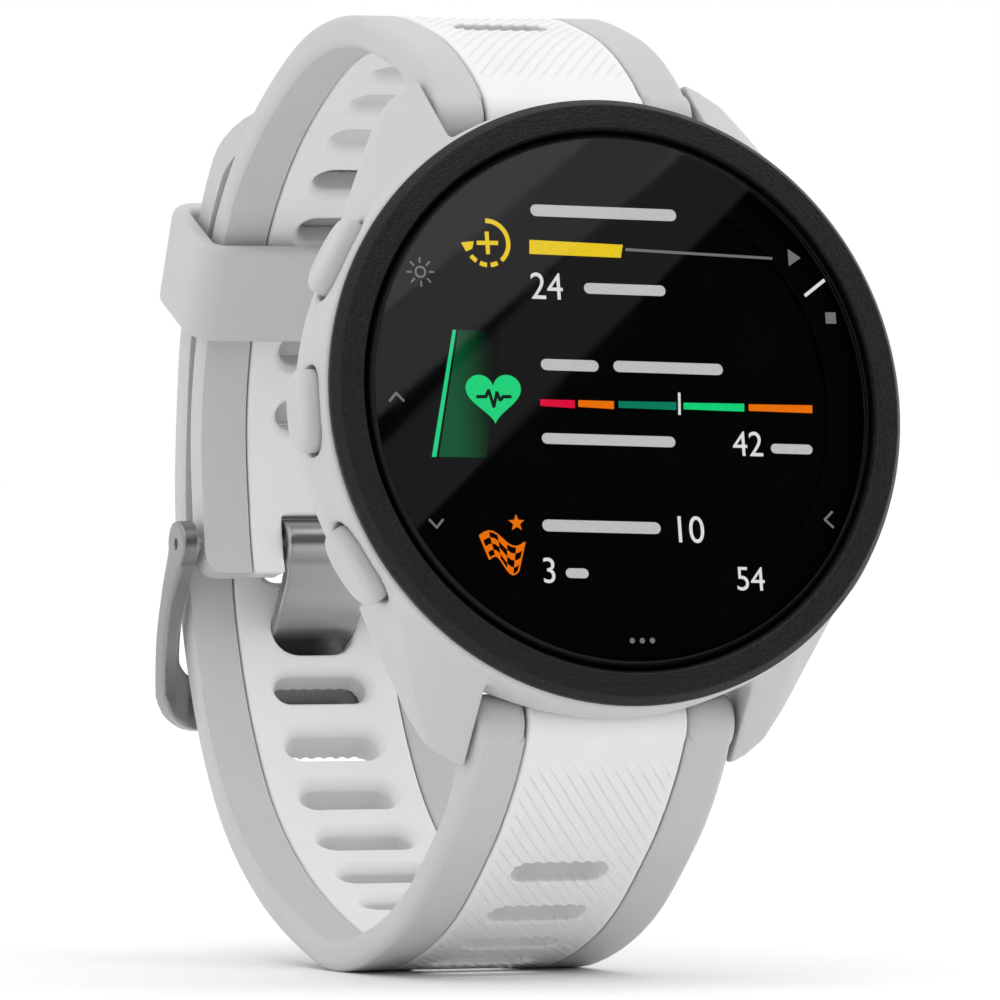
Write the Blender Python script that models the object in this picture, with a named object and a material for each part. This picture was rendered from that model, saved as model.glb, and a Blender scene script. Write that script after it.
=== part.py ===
"""A GPS running watch on its fastened two-tone strap, standing on the strap's loop with the dial leaning back.

Each piece is modelled in the watch's own frame, in millimetres: X to 3 o'clock, Z to 12 o'clock, Y from the dial
towards the wrist, and y = 0 at the back edge of the bezel. stand_on_loop() then leans the watch back, stands it on
z = 0 and turns it into metres.
"""

import math

import bmesh
import bpy
import numpy as np
from mathutils import Matrix, Vector

MM = 0.001
GAP = 0.3  # between pieces that touch on the real watch
LEAN_DEG = 10.2  # how far the dial leans back when the watch stands on its loop

# Case: a round housing, 43 mm across with its bezel, 11.6 mm from bezel to sensor window.
BEZEL_R = 21.25
BEZEL_FRONT = -1.2  # at the outer edge of its face
BEZEL_LIP = -1.5  # at the inner edge
BEZEL_FACE_R = 20.75
BEZEL_FACE_IN_R = 19.2
LENS_R = 18.65
LENS_FRONT = -1.4
LENS_BACK = -0.35
CASE_R = 21.45
CASE_BACK = 8.9
CAVITY_R = 18.1
COVER_R = 17.8
COVER_FRONT = 8.3
COVER_BACK = 9.4
WINDOW_R = 6.2
WINDOW_BACK = 10.1

# Lugs and spring bars.
LUG_HALF_GAP = 10.0
LUG_TIP = (7.5, 24.2)  # y, z
BAR = (7.0, 21.3)  # y, z of the upper spring bar; the lower one mirrors it
BAR_R = 0.75
PIVOT_R = 0.45
KNUCKLE_R = 2.1
INNER_KNUCKLE_R = 1.5
RELIEF_R = 2.45

# Screws that hold the rear cover.
SCREW_ANGLES_DEG = (45, 135, 225, 315)
SCREW_CIRCLE_R = 15.6
SHANK_R = 0.6
HEAD_R = 1.2

# Buttons: angle is measured from 3 o'clock, counter-clockwise as the wearer sees the dial.
BUTTONS = {"light": 150, "up": 180, "down": 210, "start": 30, "back": 330}
FLATTER_CAPS = ("start", "back")
BUTTON_Y = 3.3
CAP_LENGTH = 5.8
CAP_WIDTH = 3.6
CAP_INNER_R = 21.0
CAP_OUTER_R = 22.5
FLATTER_CAP_OUTER_R = 22.0
STEM_R = 0.8
STEM_END_R = 17.6
BORE_R = 1.8
POCKET_R = 20.1

# Strap: moulded rails with a lighter insert between them.
STRAP_HALF = 9.7
INSERT_HALF = 6.0
STRAP_T = 2.3
EDGE_ROUND = 0.7
SLOT_HALF_LENGTH = 3.75
SLOT_HALF_WIDTH = 1.5
STRETCHED_SLOT = 2.1  # half width of the slot that the tongue pulls open
LONG_PITCH = 4.85
PITCH_GROWTH = 0.015  # the pitch of the long half grows this much per slot, towards the lugs
SHORT_PITCH = 5.0
TAIL_REACH = 35.5  # length of tail past the buckle pin
STEP = 2.6  # spacing of the sections along a strap

# Mid-lines, as (y, z). The long half leaves the lower lugs, the short half the upper ones.
LONG_LINE = (
    (7.0, -21.3), (8.6, -23.7), (11.2, -26.4), (14.3, -28.5), (21.4, -32.0), (29.1, -33.6), (36.8, -33.4),
    (44.0, -30.4), (50.6, -26.2), (56.1, -20.7), (59.7, -13.8), (61.6, -6.3), (61.8, 0.0), (61.2, 5.6),
)
SHORT_LINE = (
    (7.0, 21.3), (8.6, 23.6), (11.1, 26.1), (14.3, 28.0), (21.4, 30.7), (29.0, 31.3), (36.4, 29.7),
    (43.5, 26.7), (49.6, 22.2), (54.1, 16.1), (56.9, 9.1), (57.6, 1.5), (57.5, -2.5),
)
TONGUE_SLOT = (61.6, -6.3)  # the slot of the long half that the tongue is in

# Buckle.
PIN = (57.5, -0.1)
PIN_R = 0.7
ARM_IN = 10.3
ARM_OUT = 11.6
ARM_LINE = ((57.5, -0.1), (58.7, -1.5), (60.6, -3.7), (62.1, -6.4), (62.8, -9.2), (63.2, -12.3))
TONGUE_LINE = (
    (57.0, -1.1), (58.2, -3.0), (59.2, -4.7), (60.5, -5.8), (62.7, -6.9), (64.3, -8.6), (65.05, -13.0),
)
TONGUE_HALF = 3.1
TONGUE_T = 1.0

# Keeper: centred this far before the buckle pin, along the short half.
KEEPER_BEFORE_PIN = 20.0
KEEPER_HEIGHT = 7.4
KEEPER_WALL = 1.5


# ---------------------------------------------------------------- materials


def material(name, colour, rough, metallic=0.0, alpha=1.0):
    made = bpy.data.materials.new(name)
    made.use_nodes = True
    shader = made.node_tree.nodes["Principled BSDF"]
    shader.inputs["Base Color"].default_value = (*colour, 1)
    shader.inputs["Roughness"].default_value = rough
    shader.inputs["Metallic"].default_value = metallic
    shader.inputs["Alpha"].default_value = alpha
    return made


# ---------------------------------------------------------------- shapes


def piece(name, bm, look):
    """The bmesh as a named object, its faces turned outwards."""
    bmesh.ops.recalc_face_normals(bm, faces=bm.faces)
    mesh = bpy.data.meshes.new(name)
    bm.to_mesh(mesh)
    bm.free()
    made = bpy.data.objects.new(name, mesh)
    bpy.context.scene.collection.objects.link(made)
    if look:
        mesh.materials.append(look)
    return made


def combine(target, tools, operation):
    """Cuts the tools from the target, or joins them to it, and removes them."""
    for tool in tools:
        modifier = target.modifiers.new(tool.name, "BOOLEAN")
        modifier.operation = operation
        modifier.solver = "EXACT"
        modifier.object = tool
    graph = bpy.context.evaluated_depsgraph_get()
    result = bpy.data.meshes.new_from_object(target.evaluated_get(graph))
    target.modifiers.clear()
    target.data = result
    for tool in tools:
        bpy.data.objects.remove(tool)
    return target


def cut(target, *tools):
    return combine(target, tools, "DIFFERENCE")


def fuse(target, *tools):
    return combine(target, tools, "UNION")


def lathe(name, profile, look, steps=56):
    """The closed profile of (radius, y) points turned about the watch's axis. A radius of 0 closes on the axis."""
    bm = bmesh.new()
    rings = []
    for radius, y in profile:
        if radius < 1e-6:
            rings.append([bm.verts.new((0, y, 0))])
            continue
        turn = [2 * math.pi * (i + 0.5) / steps for i in range(steps)]
        rings.append([bm.verts.new((radius * math.cos(a), y, radius * math.sin(a))) for a in turn])
    for first, second in zip(rings, rings[1:] + rings[:1]):
        if len(first) == 1 and len(second) == 1:
            continue
        for i in range(steps):
            j = (i + 1) % steps
            corners = [first[i % len(first)], first[j % len(first)], second[j % len(second)], second[i % len(second)]]
            bm.faces.new(list(dict.fromkeys(corners)))
    return piece(name, bm, look)


def loft(name, loops, look=None, closed=False):
    """Joins loops of equally many points: capped at the ends, or closed into a ring."""
    bm = bmesh.new()
    rows = [[bm.verts.new(p) for p in loop] for loop in loops]
    pairs = list(zip(rows, rows[1:])) + ([(rows[-1], rows[0])] if closed else [])
    for first, second in pairs:
        for i in range(len(first)):
            j = (i + 1) % len(first)
            bm.faces.new((first[i], first[j], second[j], second[i]))
    if not closed:
        bm.faces.new(rows[0])
        bm.faces.new(rows[-1])
    return piece(name, bm, look)


def rod(name, start, end, radius, look=None, steps=16):
    """A cylinder between two points."""
    start, end = Vector(start), Vector(end)
    along = (end - start).normalized()
    side = along.orthogonal().normalized()
    other = along.cross(side)
    turn = [2 * math.pi * i / steps for i in range(steps)]
    loops = [[at + radius * (math.cos(a) * side + math.sin(a) * other) for a in turn] for at in (start, end)]
    return loft(name, loops, look)


def box(name, low, high, look=None):
    (x0, y0, z0), (x1, y1, z1) = low, high
    loops = [[(x, y0, z0), (x, y1, z0), (x, y1, z1), (x, y0, z1)] for x in (x0, x1)]
    return loft(name, loops, look)


def hull(name, points, look=None):
    bm = bmesh.new()
    for point in points:
        bm.verts.new(point)
    made = bmesh.ops.convex_hull(bm, input=bm.verts)
    loose = {v for v in made["geom_interior"] + made["geom_unused"] if isinstance(v, bmesh.types.BMVert)}
    bmesh.ops.delete(bm, geom=list(loose), context="VERTS")
    return piece(name, bm, look)


def radial(angle_deg, radius, y, sideways=0.0):
    """A point by its angle round the dial, its distance from the axis, its depth and its offset along the rim."""
    a = math.radians(angle_deg)
    out, rim = Vector((math.cos(a), 0, math.sin(a))), Vector((-math.sin(a), 0, math.cos(a)))
    return out * radius + rim * sideways + Vector((0, y, 0))


# ---------------------------------------------------------------- the strap's mid-lines


class Line:
    """A smooth line in the YZ plane, measured by arc length, with its outward normal. It runs on straight past its ends."""

    def __init__(self, points, outward, dense=24):
        p = np.array(points, float)
        p = np.vstack([2 * p[0] - p[1], p, 2 * p[-1] - p[-2]])
        path = []
        for i in range(1, len(p) - 2):
            for t in np.linspace(0, 1, dense, endpoint=False):
                a, b, c, d = p[i - 1 : i + 3]
                path.append(0.5 * (2 * b + (c - a) * t + (2 * a - 5 * b + 4 * c - d) * t**2 + (3 * b - a - 3 * c + d) * t**3))
        path.append(p[-2])
        self.path = np.array(path)
        self.length_at = np.r_[0, np.cumsum(np.linalg.norm(np.diff(self.path, axis=0), axis=1))]
        self.length = float(self.length_at[-1])
        slope = np.gradient(self.path, axis=0)
        slope /= np.linalg.norm(slope, axis=1)[:, None]
        self.slope = slope
        self.normal = outward * np.c_[slope[:, 1], -slope[:, 0]]

    def at(self, s):
        """(position, outward normal) at arc length s."""
        inside = min(max(s, 0.0), self.length)
        pick = lambda table: np.array([np.interp(inside, self.length_at, table[:, k]) for k in (0, 1)])
        normal = pick(self.normal)
        return pick(self.path) + (s - inside) * pick(self.slope), normal / np.linalg.norm(normal)

    def nearest(self, point):
        return float(self.length_at[np.argmin(np.linalg.norm(self.path - np.array(point), axis=1))])

    def bend(self, made, thickness=None, step=STEP):
        """Bends an object modelled flat, as (x, s, n), onto the line. thickness(s) scales n."""
        bm = bmesh.new()
        bm.from_mesh(made.data)
        low, high = (f(v.co.y for v in bm.verts) for f in (min, max))
        for s in np.arange(math.ceil(low / step) * step, high, step):
            if low + 0.05 < s < high - 0.05:
                everything = bm.verts[:] + bm.edges[:] + bm.faces[:]
                bmesh.ops.bisect_plane(bm, geom=everything, plane_co=(0, s, 0), plane_no=(0, 1, 0), dist=0.01)
        bmesh.ops.triangulate(bm, faces=bm.faces)
        for v in bm.verts:
            x, s, n = v.co
            place, normal = self.at(s)
            place = place + normal * n * (thickness(s) if thickness else 1.0)
            v.co = (x, place[0], place[1])
        bmesh.ops.recalc_face_normals(bm, faces=bm.faces)
        bm.to_mesh(made.data)
        bm.free()
        return made


def plate(name, outline, low, high, look=None, round_edges=0.0):
    """A flat prism: its outline is in (x, s), and it stands from n = low to n = high. Its edges can be chamfered."""
    bm = bmesh.new()
    loops = [[bm.verts.new((x, s, n)) for x, s in outline] for n in (low, high)]
    for i in range(len(outline)):
        j = (i + 1) % len(outline)
        bm.faces.new((loops[0][i], loops[0][j], loops[1][j], loops[1][i]))
    rims = [bm.faces.new(loop) for loop in loops]
    if round_edges:
        edges = [e for rim in rims for e in rim.edges]
        bmesh.ops.bevel(bm, geom=edges, offset=round_edges, segments=2, profile=0.5, affect="EDGES")
    return piece(name, bm, look)


def rounded_end(half, start, end, corner, steps=6):
    """An outline from s = start, cut square, to s = end, with rounded corners."""
    arc = [math.pi / 2 * i / steps for i in range(steps + 1)]
    right = [(half - corner + corner * math.cos(a), end - corner + corner * math.sin(a)) for a in arc]
    left = [(-x, s) for x, s in reversed(right)]
    return [(-half, start), (half, start)] + right + left


def slot(s, half_width, half_length=SLOT_HALF_LENGTH, steps=5):
    """A tool for one round-ended slot across the strap."""
    straight = half_length - half_width
    arc = [math.pi * i / steps - math.pi / 2 for i in range(steps + 1)]
    right = [(straight + half_width * math.cos(a), s + half_width * math.sin(a)) for a in arc]
    left = [(-x, 2 * s - t) for x, t in right]
    return plate("tool", right + left, -3, 3)


# ---------------------------------------------------------------- case


def make_lug(side, end):
    """One of the four lugs: a fin that leaves the case's rim and leans back to its tip."""
    g, (tip_y, tip_z) = LUG_HALF_GAP, LUG_TIP
    half = [
        (g, 0.9, 17.6), (g, 2.9, 19.4), (g, tip_y, tip_z), (g, 8.3, 24.1), (g, 9.1, 23.2), (g, 8.9, 17.0),
        (11.2, 7.6, 23.6), (12.5, 7.2, 22.6), (12.4, 8.9, 22.3), (13.7, 6.2, 20.6), (13.5, 8.9, 20.4),
        (15.6, 3.6, 16.0), (15.5, 8.6, 15.8), (16.9, 1.2, 13.1), (16.9, 8.1, 12.9), (13.6, 0.9, 16.1),
        (g, 0.9, 15.5), (g, 8.9, 15.5), (15.6, 1.2, 12.0), (15.6, 8.1, 12.0),
    ]
    return hull("lug", [(side * x, y, end * z) for x, y, z in half])


def make_case(look):
    profile = [
        (0, 0.3), (21.25, 0.3), (CASE_R, 1.2), (CASE_R, 4.6), (21.15, 6.6), (20.3, 8.2), (19.2, CASE_BACK),
        (0, CASE_BACK),
    ]
    case = lathe("case_body", profile, look, steps=80)
    reach = LUG_HALF_GAP + 0.05
    reliefs = [rod("tool", (-reach, BAR[0], z), (reach, BAR[0], z), RELIEF_R, None, 32) for z in (-BAR[1], BAR[1])]
    case = cut(case, *reliefs)
    case = fuse(case, *[make_lug(side, end) for side in (-1, 1) for end in (-1, 1)])
    cavity = [(0, -1), (20.2, -1), (20.2, 1.6), (CAVITY_R, 1.6), (CAVITY_R, 10), (0, 10)]
    trims = [lathe("tool", cavity, None, 72)]
    for side in (-1, 1):
        for z in (-BAR[1], BAR[1]):
            trims.append(rod("tool", (side * 9, BAR[0], z), (side * 11.6, BAR[0], z), PIVOT_R + GAP, None, 12))
    case = cut(case, *trims)
    bosses = [
        hull("boss", [radial(a, r, y, w) for y in (5.6, 7.3) for r, w in
                      ((14.0, -0.8), (14.0, 0.8), (15.0, 1.7), (15.0, -1.7), (19.2, 1.7), (19.2, -1.7))])
        for a in SCREW_ANGLES_DEG
    ]
    case = fuse(case, *bosses)
    holes = [
        rod("tool", radial(a, SCREW_CIRCLE_R, 6.0), radial(a, SCREW_CIRCLE_R, 9.0), SHANK_R + GAP)
        for a in SCREW_ANGLES_DEG
    ]
    for angle in BUTTONS.values():
        holes.append(rod("tool", radial(angle, 17, BUTTON_Y), radial(angle, 22, BUTTON_Y), BORE_R))
        half = (CAP_LENGTH / 2 + GAP, CAP_WIDTH / 2 + GAP)
        holes.append(loft("tool", [oval(angle, r, *half) for r in (POCKET_R, 23)]))
    return cut(case, *holes)


def make_bezel(look):
    profile = [
        (BEZEL_FACE_IN_R, BEZEL_LIP), (BEZEL_FACE_R, BEZEL_FRONT), (BEZEL_R, BEZEL_FRONT + 0.8), (BEZEL_R, 0),
        (19.9, 0), (19.9, 1.3), (18.95, 1.3), (18.95, -1.1),
    ]
    return lathe("bezel", profile, look, steps=80)


def make_front_stack(looks):
    """Lens, display, antenna ring and the frame that carries them."""
    c = 0.35
    lathe("lens_glass", [(0, LENS_FRONT), (LENS_R - c, LENS_FRONT), (LENS_R, LENS_FRONT + c), (LENS_R, LENS_BACK),
                         (0, LENS_BACK)], looks["glass"])
    lathe("display_panel", [(0, -0.05), (16.6, -0.05), (16.6, 0.95), (0, 0.95)], looks["display"], 48)
    antenna = lathe("gps_antenna", [(16.9, -0.05), (18.6, -0.05), (18.6, 0.9), (16.9, 0.9)], looks["copper"], 48)
    cut(antenna, box("tool", (-1.5, -1, 15), (1.5, 2, 20)))
    lathe("display_frame", [(0, 1.25), (17.7, 1.25), (17.7, 2.05), (0, 2.05)], looks["magnesium"], 48)


def make_inside(looks):
    """The electronics between the display frame and the rear cover."""
    chamfer = 1.0
    outline = [(-12.6, -9), (9, -9), (9, 9), (-12.6, 9)]
    battery = plate("battery", outline, 2.35, 5.4, looks["battery"], chamfer)
    for v in battery.data.vertices:
        v.co = (v.co.x, v.co.z, v.co.y)
    turn_outwards(battery)
    board = lathe("main_board", [(0, 5.75), (13.2, 5.75), (13.2, 6.45), (0, 6.45)], looks["board"], 40)
    fuse(board, box("chip", (-5, 6.2, -9), (2, 6.75, -4)), box("chip", (-2, 6.2, 6.0), (5, 6.75, 10)))
    rod("vibration_motor", (12.3, 2.4, 3.1), (12.3, 4.6, 3.1), 2.5, looks["steel"], 24)
    rod("buzzer", (12.3, 2.4, -3.1), (12.3, 4.0, -3.1), 2.4, looks["black"], 24)
    sensor = rod("sensor_board", (0, 7.1, 0), (0, 7.7, 0), 6.4, looks["board"], 32)
    lamps = [rod("lamp", radial(a, 3.2, 7.5), radial(a, 3.2, 8.3), 0.8, None, 10) for a in (30, 150, 270)]
    fuse(sensor, *lamps)


def turn_outwards(made):
    bm = bmesh.new()
    bm.from_mesh(made.data)
    bmesh.ops.recalc_face_normals(bm, faces=bm.faces)
    bm.to_mesh(made.data)
    bm.free()


def make_rear(looks):
    """Rear cover with its gasket, sensor window, charging socket and screws."""
    profile = [
        (WINDOW_R + GAP, COVER_FRONT), (COVER_R, COVER_FRONT), (COVER_R, COVER_BACK - 0.3), (17.5, COVER_BACK),
        (11.0, COVER_BACK), (10.0, WINDOW_BACK - 0.3), (WINDOW_R + GAP, WINDOW_BACK - 0.3),
    ]
    cover = lathe("rear_cover", profile, looks["cover"])
    tools = [box("tool", (-3.8, 8, -15.4), (3.8, 11, -11.6))]
    for i, a in enumerate(SCREW_ANGLES_DEG, 1):
        tools.append(rod("tool", radial(a, SCREW_CIRCLE_R, 8), radial(a, SCREW_CIRCLE_R, 10), SHANK_R + GAP))
        tools.append(rod("tool", radial(a, SCREW_CIRCLE_R, 8.7), radial(a, SCREW_CIRCLE_R, 10), HEAD_R + GAP, None, 24))
        screw = rod(f"case_screw_{i}", radial(a, SCREW_CIRCLE_R, 6.3), radial(a, SCREW_CIRCLE_R, 9.2), SHANK_R,
                    looks["steel"])
        fuse(screw, rod("head", radial(a, SCREW_CIRCLE_R, 9.0), radial(a, SCREW_CIRCLE_R, 9.5), HEAD_R, None, 20))
    cut(cover, *tools)
    lathe("rear_gasket", [(16.95, 7.6), (17.75, 7.6), (17.75, 8.0), (16.95, 8.0)], looks["rubber"], 48)
    lathe("sensor_window", [(0, 8.6), (WINDOW_R, 8.6), (WINDOW_R, 9.8), (WINDOW_R - 0.6, WINDOW_BACK),
                            (0, WINDOW_BACK)], looks["window"], 40)
    socket = box("charge_socket", (-3.5, 7.6, -15.1), (3.5, 9.0, -11.9), looks["black"])
    contacts_x = (-2.4, -0.8, 0.8, 2.4)
    cut(socket, *[rod("tool", (x, 8.0, -13.5), (x, 10, -13.5), 0.65, None, 12) for x in contacts_x])
    for i, x in enumerate(contacts_x, 1):
        rod(f"charge_contact_{i}", (x, 8.3, -13.5), (x, 9.2, -13.5), 0.35, looks["gold"], 12)


def oval(angle, radius, half_length, half_width, steps=20):
    """A loop round a button: long along the rim, short along the watch's axis."""
    turn = [2 * math.pi * i / steps for i in range(steps)]
    return [radial(angle, radius, BUTTON_Y + half_width * math.sin(a), half_length * math.cos(a)) for a in turn]


def make_button(name, angle, looks):
    """A domed cap on its stem, the seal on the stem, and the switch that it presses."""
    half = (CAP_LENGTH / 2, CAP_WIDTH / 2)
    top = FLATTER_CAP_OUTER_R if name in FLATTER_CAPS else CAP_OUTER_R
    rings = [(CAP_INNER_R, 1.0), (top - 0.55, 1.0), (top - 0.15, 0.82), (top, 0.5)]
    cap = loft(f"{name}_button", [oval(angle, r, half[0] * k, half[1] * k) for r, k in rings], looks["case"])
    fuse(cap, rod("stem", radial(angle, STEM_END_R, BUTTON_Y), radial(angle, 21.5, BUTTON_Y), STEM_R, None, 12))
    turn = [2 * math.pi * i / 16 for i in range(16)]

    def ring(radius, at):
        return [radial(angle, at, BUTTON_Y + radius * math.sin(a), radius * math.cos(a)) for a in turn]

    seal = [ring(r, at) for r, at in ((1.1, 18.7), (1.5, 18.7), (1.5, 19.3), (1.1, 19.3))]
    loft(f"{name}_button_seal", seal, looks["rubber"], closed=True)
    corners = [radial(angle, r, y, w) for r in (15.9, 16.85) for y in (2.5, 4.1) for w in (-1.7, 1.7)]
    hull(f"{name}_switch", corners, looks["steel"])


# ---------------------------------------------------------------- strap


def swell(s):
    """How much thicker the strap is near its spring bar."""
    return 1 + (2 * KNUCKLE_R / STRAP_T - 1) * max(0.0, 1 - max(s, 0.0) / 8.0) ** 1.4


def make_strap_half(name, line, end, slots, tip_corner, tip_margin, looks, stretched=None):
    """The rails with the knuckle at the spring bar, and the slotted insert between them."""
    half_t = STRAP_T / 2
    rails = plate(f"{name}_rails", rounded_end(STRAP_HALF, 0.0, line.length, tip_corner), -half_t, half_t,
                  looks["rail"], EDGE_ROUND)
    window_end = line.length - tip_margin
    window_corner = max(tip_corner - 3.5, 0.3)
    cut(rails, plate("tool", rounded_end(INSERT_HALF + GAP, -2, window_end, window_corner), -3, 3))
    line.bend(rails, swell)
    insert_end = min(window_end - GAP, line.length)
    insert = plate(f"{name}_insert", rounded_end(INSERT_HALF, -0.2, insert_end, max(window_corner - GAP, 0.3)),
                   -half_t, half_t, looks["insert"])
    cut(insert, *[slot(s, STRETCHED_SLOT if s == stretched else SLOT_HALF_WIDTH) for s in slots])
    line.bend(insert, swell)
    bar = Vector((0, BAR[0], end * BAR[1]))
    knuckles = [
        rod("knuckle", bar + Vector((x0, 0, 0)), bar + Vector((x1, 0, 0)), r, None, 24)
        for x0, x1, r in (
            (-STRAP_HALF, -INSERT_HALF - GAP, KNUCKLE_R), (-INSERT_HALF - 1, INSERT_HALF + 1, INNER_KNUCKLE_R),
            (INSERT_HALF + GAP, STRAP_HALF, KNUCKLE_R),
        )
    ]
    fuse(rails, *knuckles)
    lever_slot = box("tool", (4.6, BAR[0] - 0.2, bar.z - 0.9), (7.6, BAR[0] + 4, bar.z + 0.9))
    cut(rails, rod("tool", bar - Vector((12, 0, 0)), bar + Vector((12, 0, 0)), BAR_R + GAP, None, 20), lever_slot)
    clear = rod("tool", bar - Vector((12, 0, 0)), bar + Vector((12, 0, 0)), INNER_KNUCKLE_R + GAP, None, 24)
    lever_clear = box("tool", (4.6, BAR[0] + 0.5, bar.z - 0.9), (7.6, BAR[0] + 4, bar.z + 0.9))
    cut(insert, clear, lever_clear)
    return rails, insert


def make_spring_bar(name, end, looks):
    """The fixed barrel with its tip in one lug, and the sprung plunger with the release knob."""
    y, z = BAR[0], end * BAR[1]
    barrel = rod(f"{name}_spring_bar", (-9.6, y, z), (4.0, y, z), BAR_R, looks["steel"])
    fuse(barrel, rod("tip", (-11.2, y, z), (-9.0, y, z), PIVOT_R, None, 12))
    lever = rod(f"{name}_release_lever", (5.9, y, z), (9.3, y, z), BAR_R, looks["steel"])
    fuse(lever, rod("tip", (9.0, y, z), (11.2, y, z), PIVOT_R, None, 12), rod("knob", (6.7, y, z), (6.7, y + 2.6, z), 0.5, None, 12))


def make_strap(looks):
    short = Line(SHORT_LINE, -1)
    pin_s = short.nearest(PIN)
    tail = []
    reach = short.length - (short.length - pin_s) - 13.5
    for s in np.arange(reach, pin_s - TAIL_REACH, -4.0):
        place, normal = short.at(s)
        tail.append(tuple(place + normal * (STRAP_T + GAP + 0.1 + 0.5 * max(0.0, (s - reach + 6) / 6))))
    long_half = Line(LONG_LINE + tuple(tail), 1)
    tongue_s = long_half.nearest(TONGUE_SLOT)
    long_slots = [tongue_s - LONG_PITCH * k - PITCH_GROWTH * k * abs(k) for k in range(-7, 13)]
    long_slots = [s for s in long_slots if s < long_half.length - 9]
    short_slots = [pin_s - 9.7 - SHORT_PITCH * k for k in range(11)]
    make_strap_half("long_strap", long_half, -1, long_slots, 6.5, 4.5, looks, tongue_s)
    rails, insert = make_strap_half("short_strap", short, 1, short_slots, 1.5, -3, looks)
    ends = ((-13, PIN[0], PIN[1]), (13, PIN[0], PIN[1]))
    cut(rails, rod("tool", *ends, PIN_R + GAP))
    notch = box("tool", (-TONGUE_HALF - 0.4, 50, PIN[1] - 4), (TONGUE_HALF + 0.4, 60, PIN[1] + 2.2))
    cut(insert, rod("tool", *ends, PIN_R + GAP), notch)
    return short, pin_s


def make_keeper(short, pin_s, looks):
    """The loop that holds the tail against the short half."""
    place, normal = short.at(pin_s - KEEPER_BEFORE_PIN)
    out = Vector((0, normal[0], normal[1]))
    along = Vector((0, -normal[1], normal[0]))
    low, high = -STRAP_T / 2 - 0.75, 1.5 * STRAP_T + GAP + 0.1 + 0.55
    centre = Vector((0, *place)) + out * (low + high) / 2
    half_n, half_x = (high - low) / 2, STRAP_HALF + 0.45

    def loop(grow, corner, shift):
        points = []
        for sx, sn in ((1, 1), (-1, 1), (-1, -1), (1, -1)):
            start = math.atan2(sn, sx) - math.pi / 4
            for i in range(5):
                a = start + math.pi / 2 * i / 4
                x = sx * (half_x + grow - corner) + corner * math.cos(a)
                n = sn * (half_n + grow - corner) + corner * math.sin(a)
                points.append(centre + Vector((x, 0, 0)) + out * n + along * shift)
        return points

    h, w, e = KEEPER_HEIGHT / 2, KEEPER_WALL, 0.4
    loops = [loop(0, 0.5, -h), loop(w - e, 1.6, -h), loop(w, 2.0, -h + e), loop(w, 2.0, h - e), loop(w - e, 1.6, h),
             loop(0, 0.5, h)]
    loft("keeper", loops, looks["rail"], closed=True)


def make_buckle(looks):
    """The frame, its tongue and the pin they turn on."""
    arm = Line(ARM_LINE, -1)
    outline = rounded_end(ARM_OUT, -1.3, arm.length + 0.9, 3.0)
    frame = plate("buckle_frame", outline, -0.95, 0.95, looks["gunmetal"], 0.4)
    cut(frame, plate("tool", rounded_end(ARM_IN, -6, arm.length - 0.9, 1.6), -3, 3))
    arm.bend(frame, lambda s: 1 + 0.5 * max(0.0, 1 - max(s, 0.0) / 5), step=1.3)
    y, z = PIN
    cut(frame, rod("tool", (-13, y, z), (13, y, z), PIN_R + GAP))
    line = Line(TONGUE_LINE, -1)
    h = TONGUE_HALF
    shape = [(-h, 0), (-h + 0.35, 1.6), (-h, 4.0), (-h, line.length), (h, line.length), (h, 4.0), (h - 0.35, 1.6), (h, 0)]
    tongue = plate("buckle_tongue", shape, -TONGUE_T / 2, TONGUE_T / 2, looks["gunmetal"])
    line.bend(tongue, step=1.1)
    fuse(tongue, rod("eye", (-h, y, z), (h, y, z), 1.75, None, 24))
    cut(tongue, rod("tool", (-13, y, z), (13, y, z), PIN_R + GAP))
    rod("buckle_pin", (-11.2, y, z), (11.2, y, z), PIN_R, looks["steel"])


# ---------------------------------------------------------------- assembly


def stand_on_loop():
    """Leans the watch back, sets the middle of its bounding box's base at the origin, and turns it into metres."""
    lean = Matrix.Rotation(-math.radians(LEAN_DEG), 4, "X")
    pieces = [o for o in bpy.context.scene.objects if o.type == "MESH"]
    for made in pieces:
        made.data.transform(lean)
    points = np.array([v.co for made in pieces for v in made.data.vertices])
    low, high = points.min(axis=0), points.max(axis=0)
    shift = Matrix.Translation((-(low[0] + high[0]) / 2, -(low[1] + high[1]) / 2, -low[2]))
    for made in pieces:
        made.data.transform(Matrix.Scale(MM, 4) @ shift)


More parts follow.
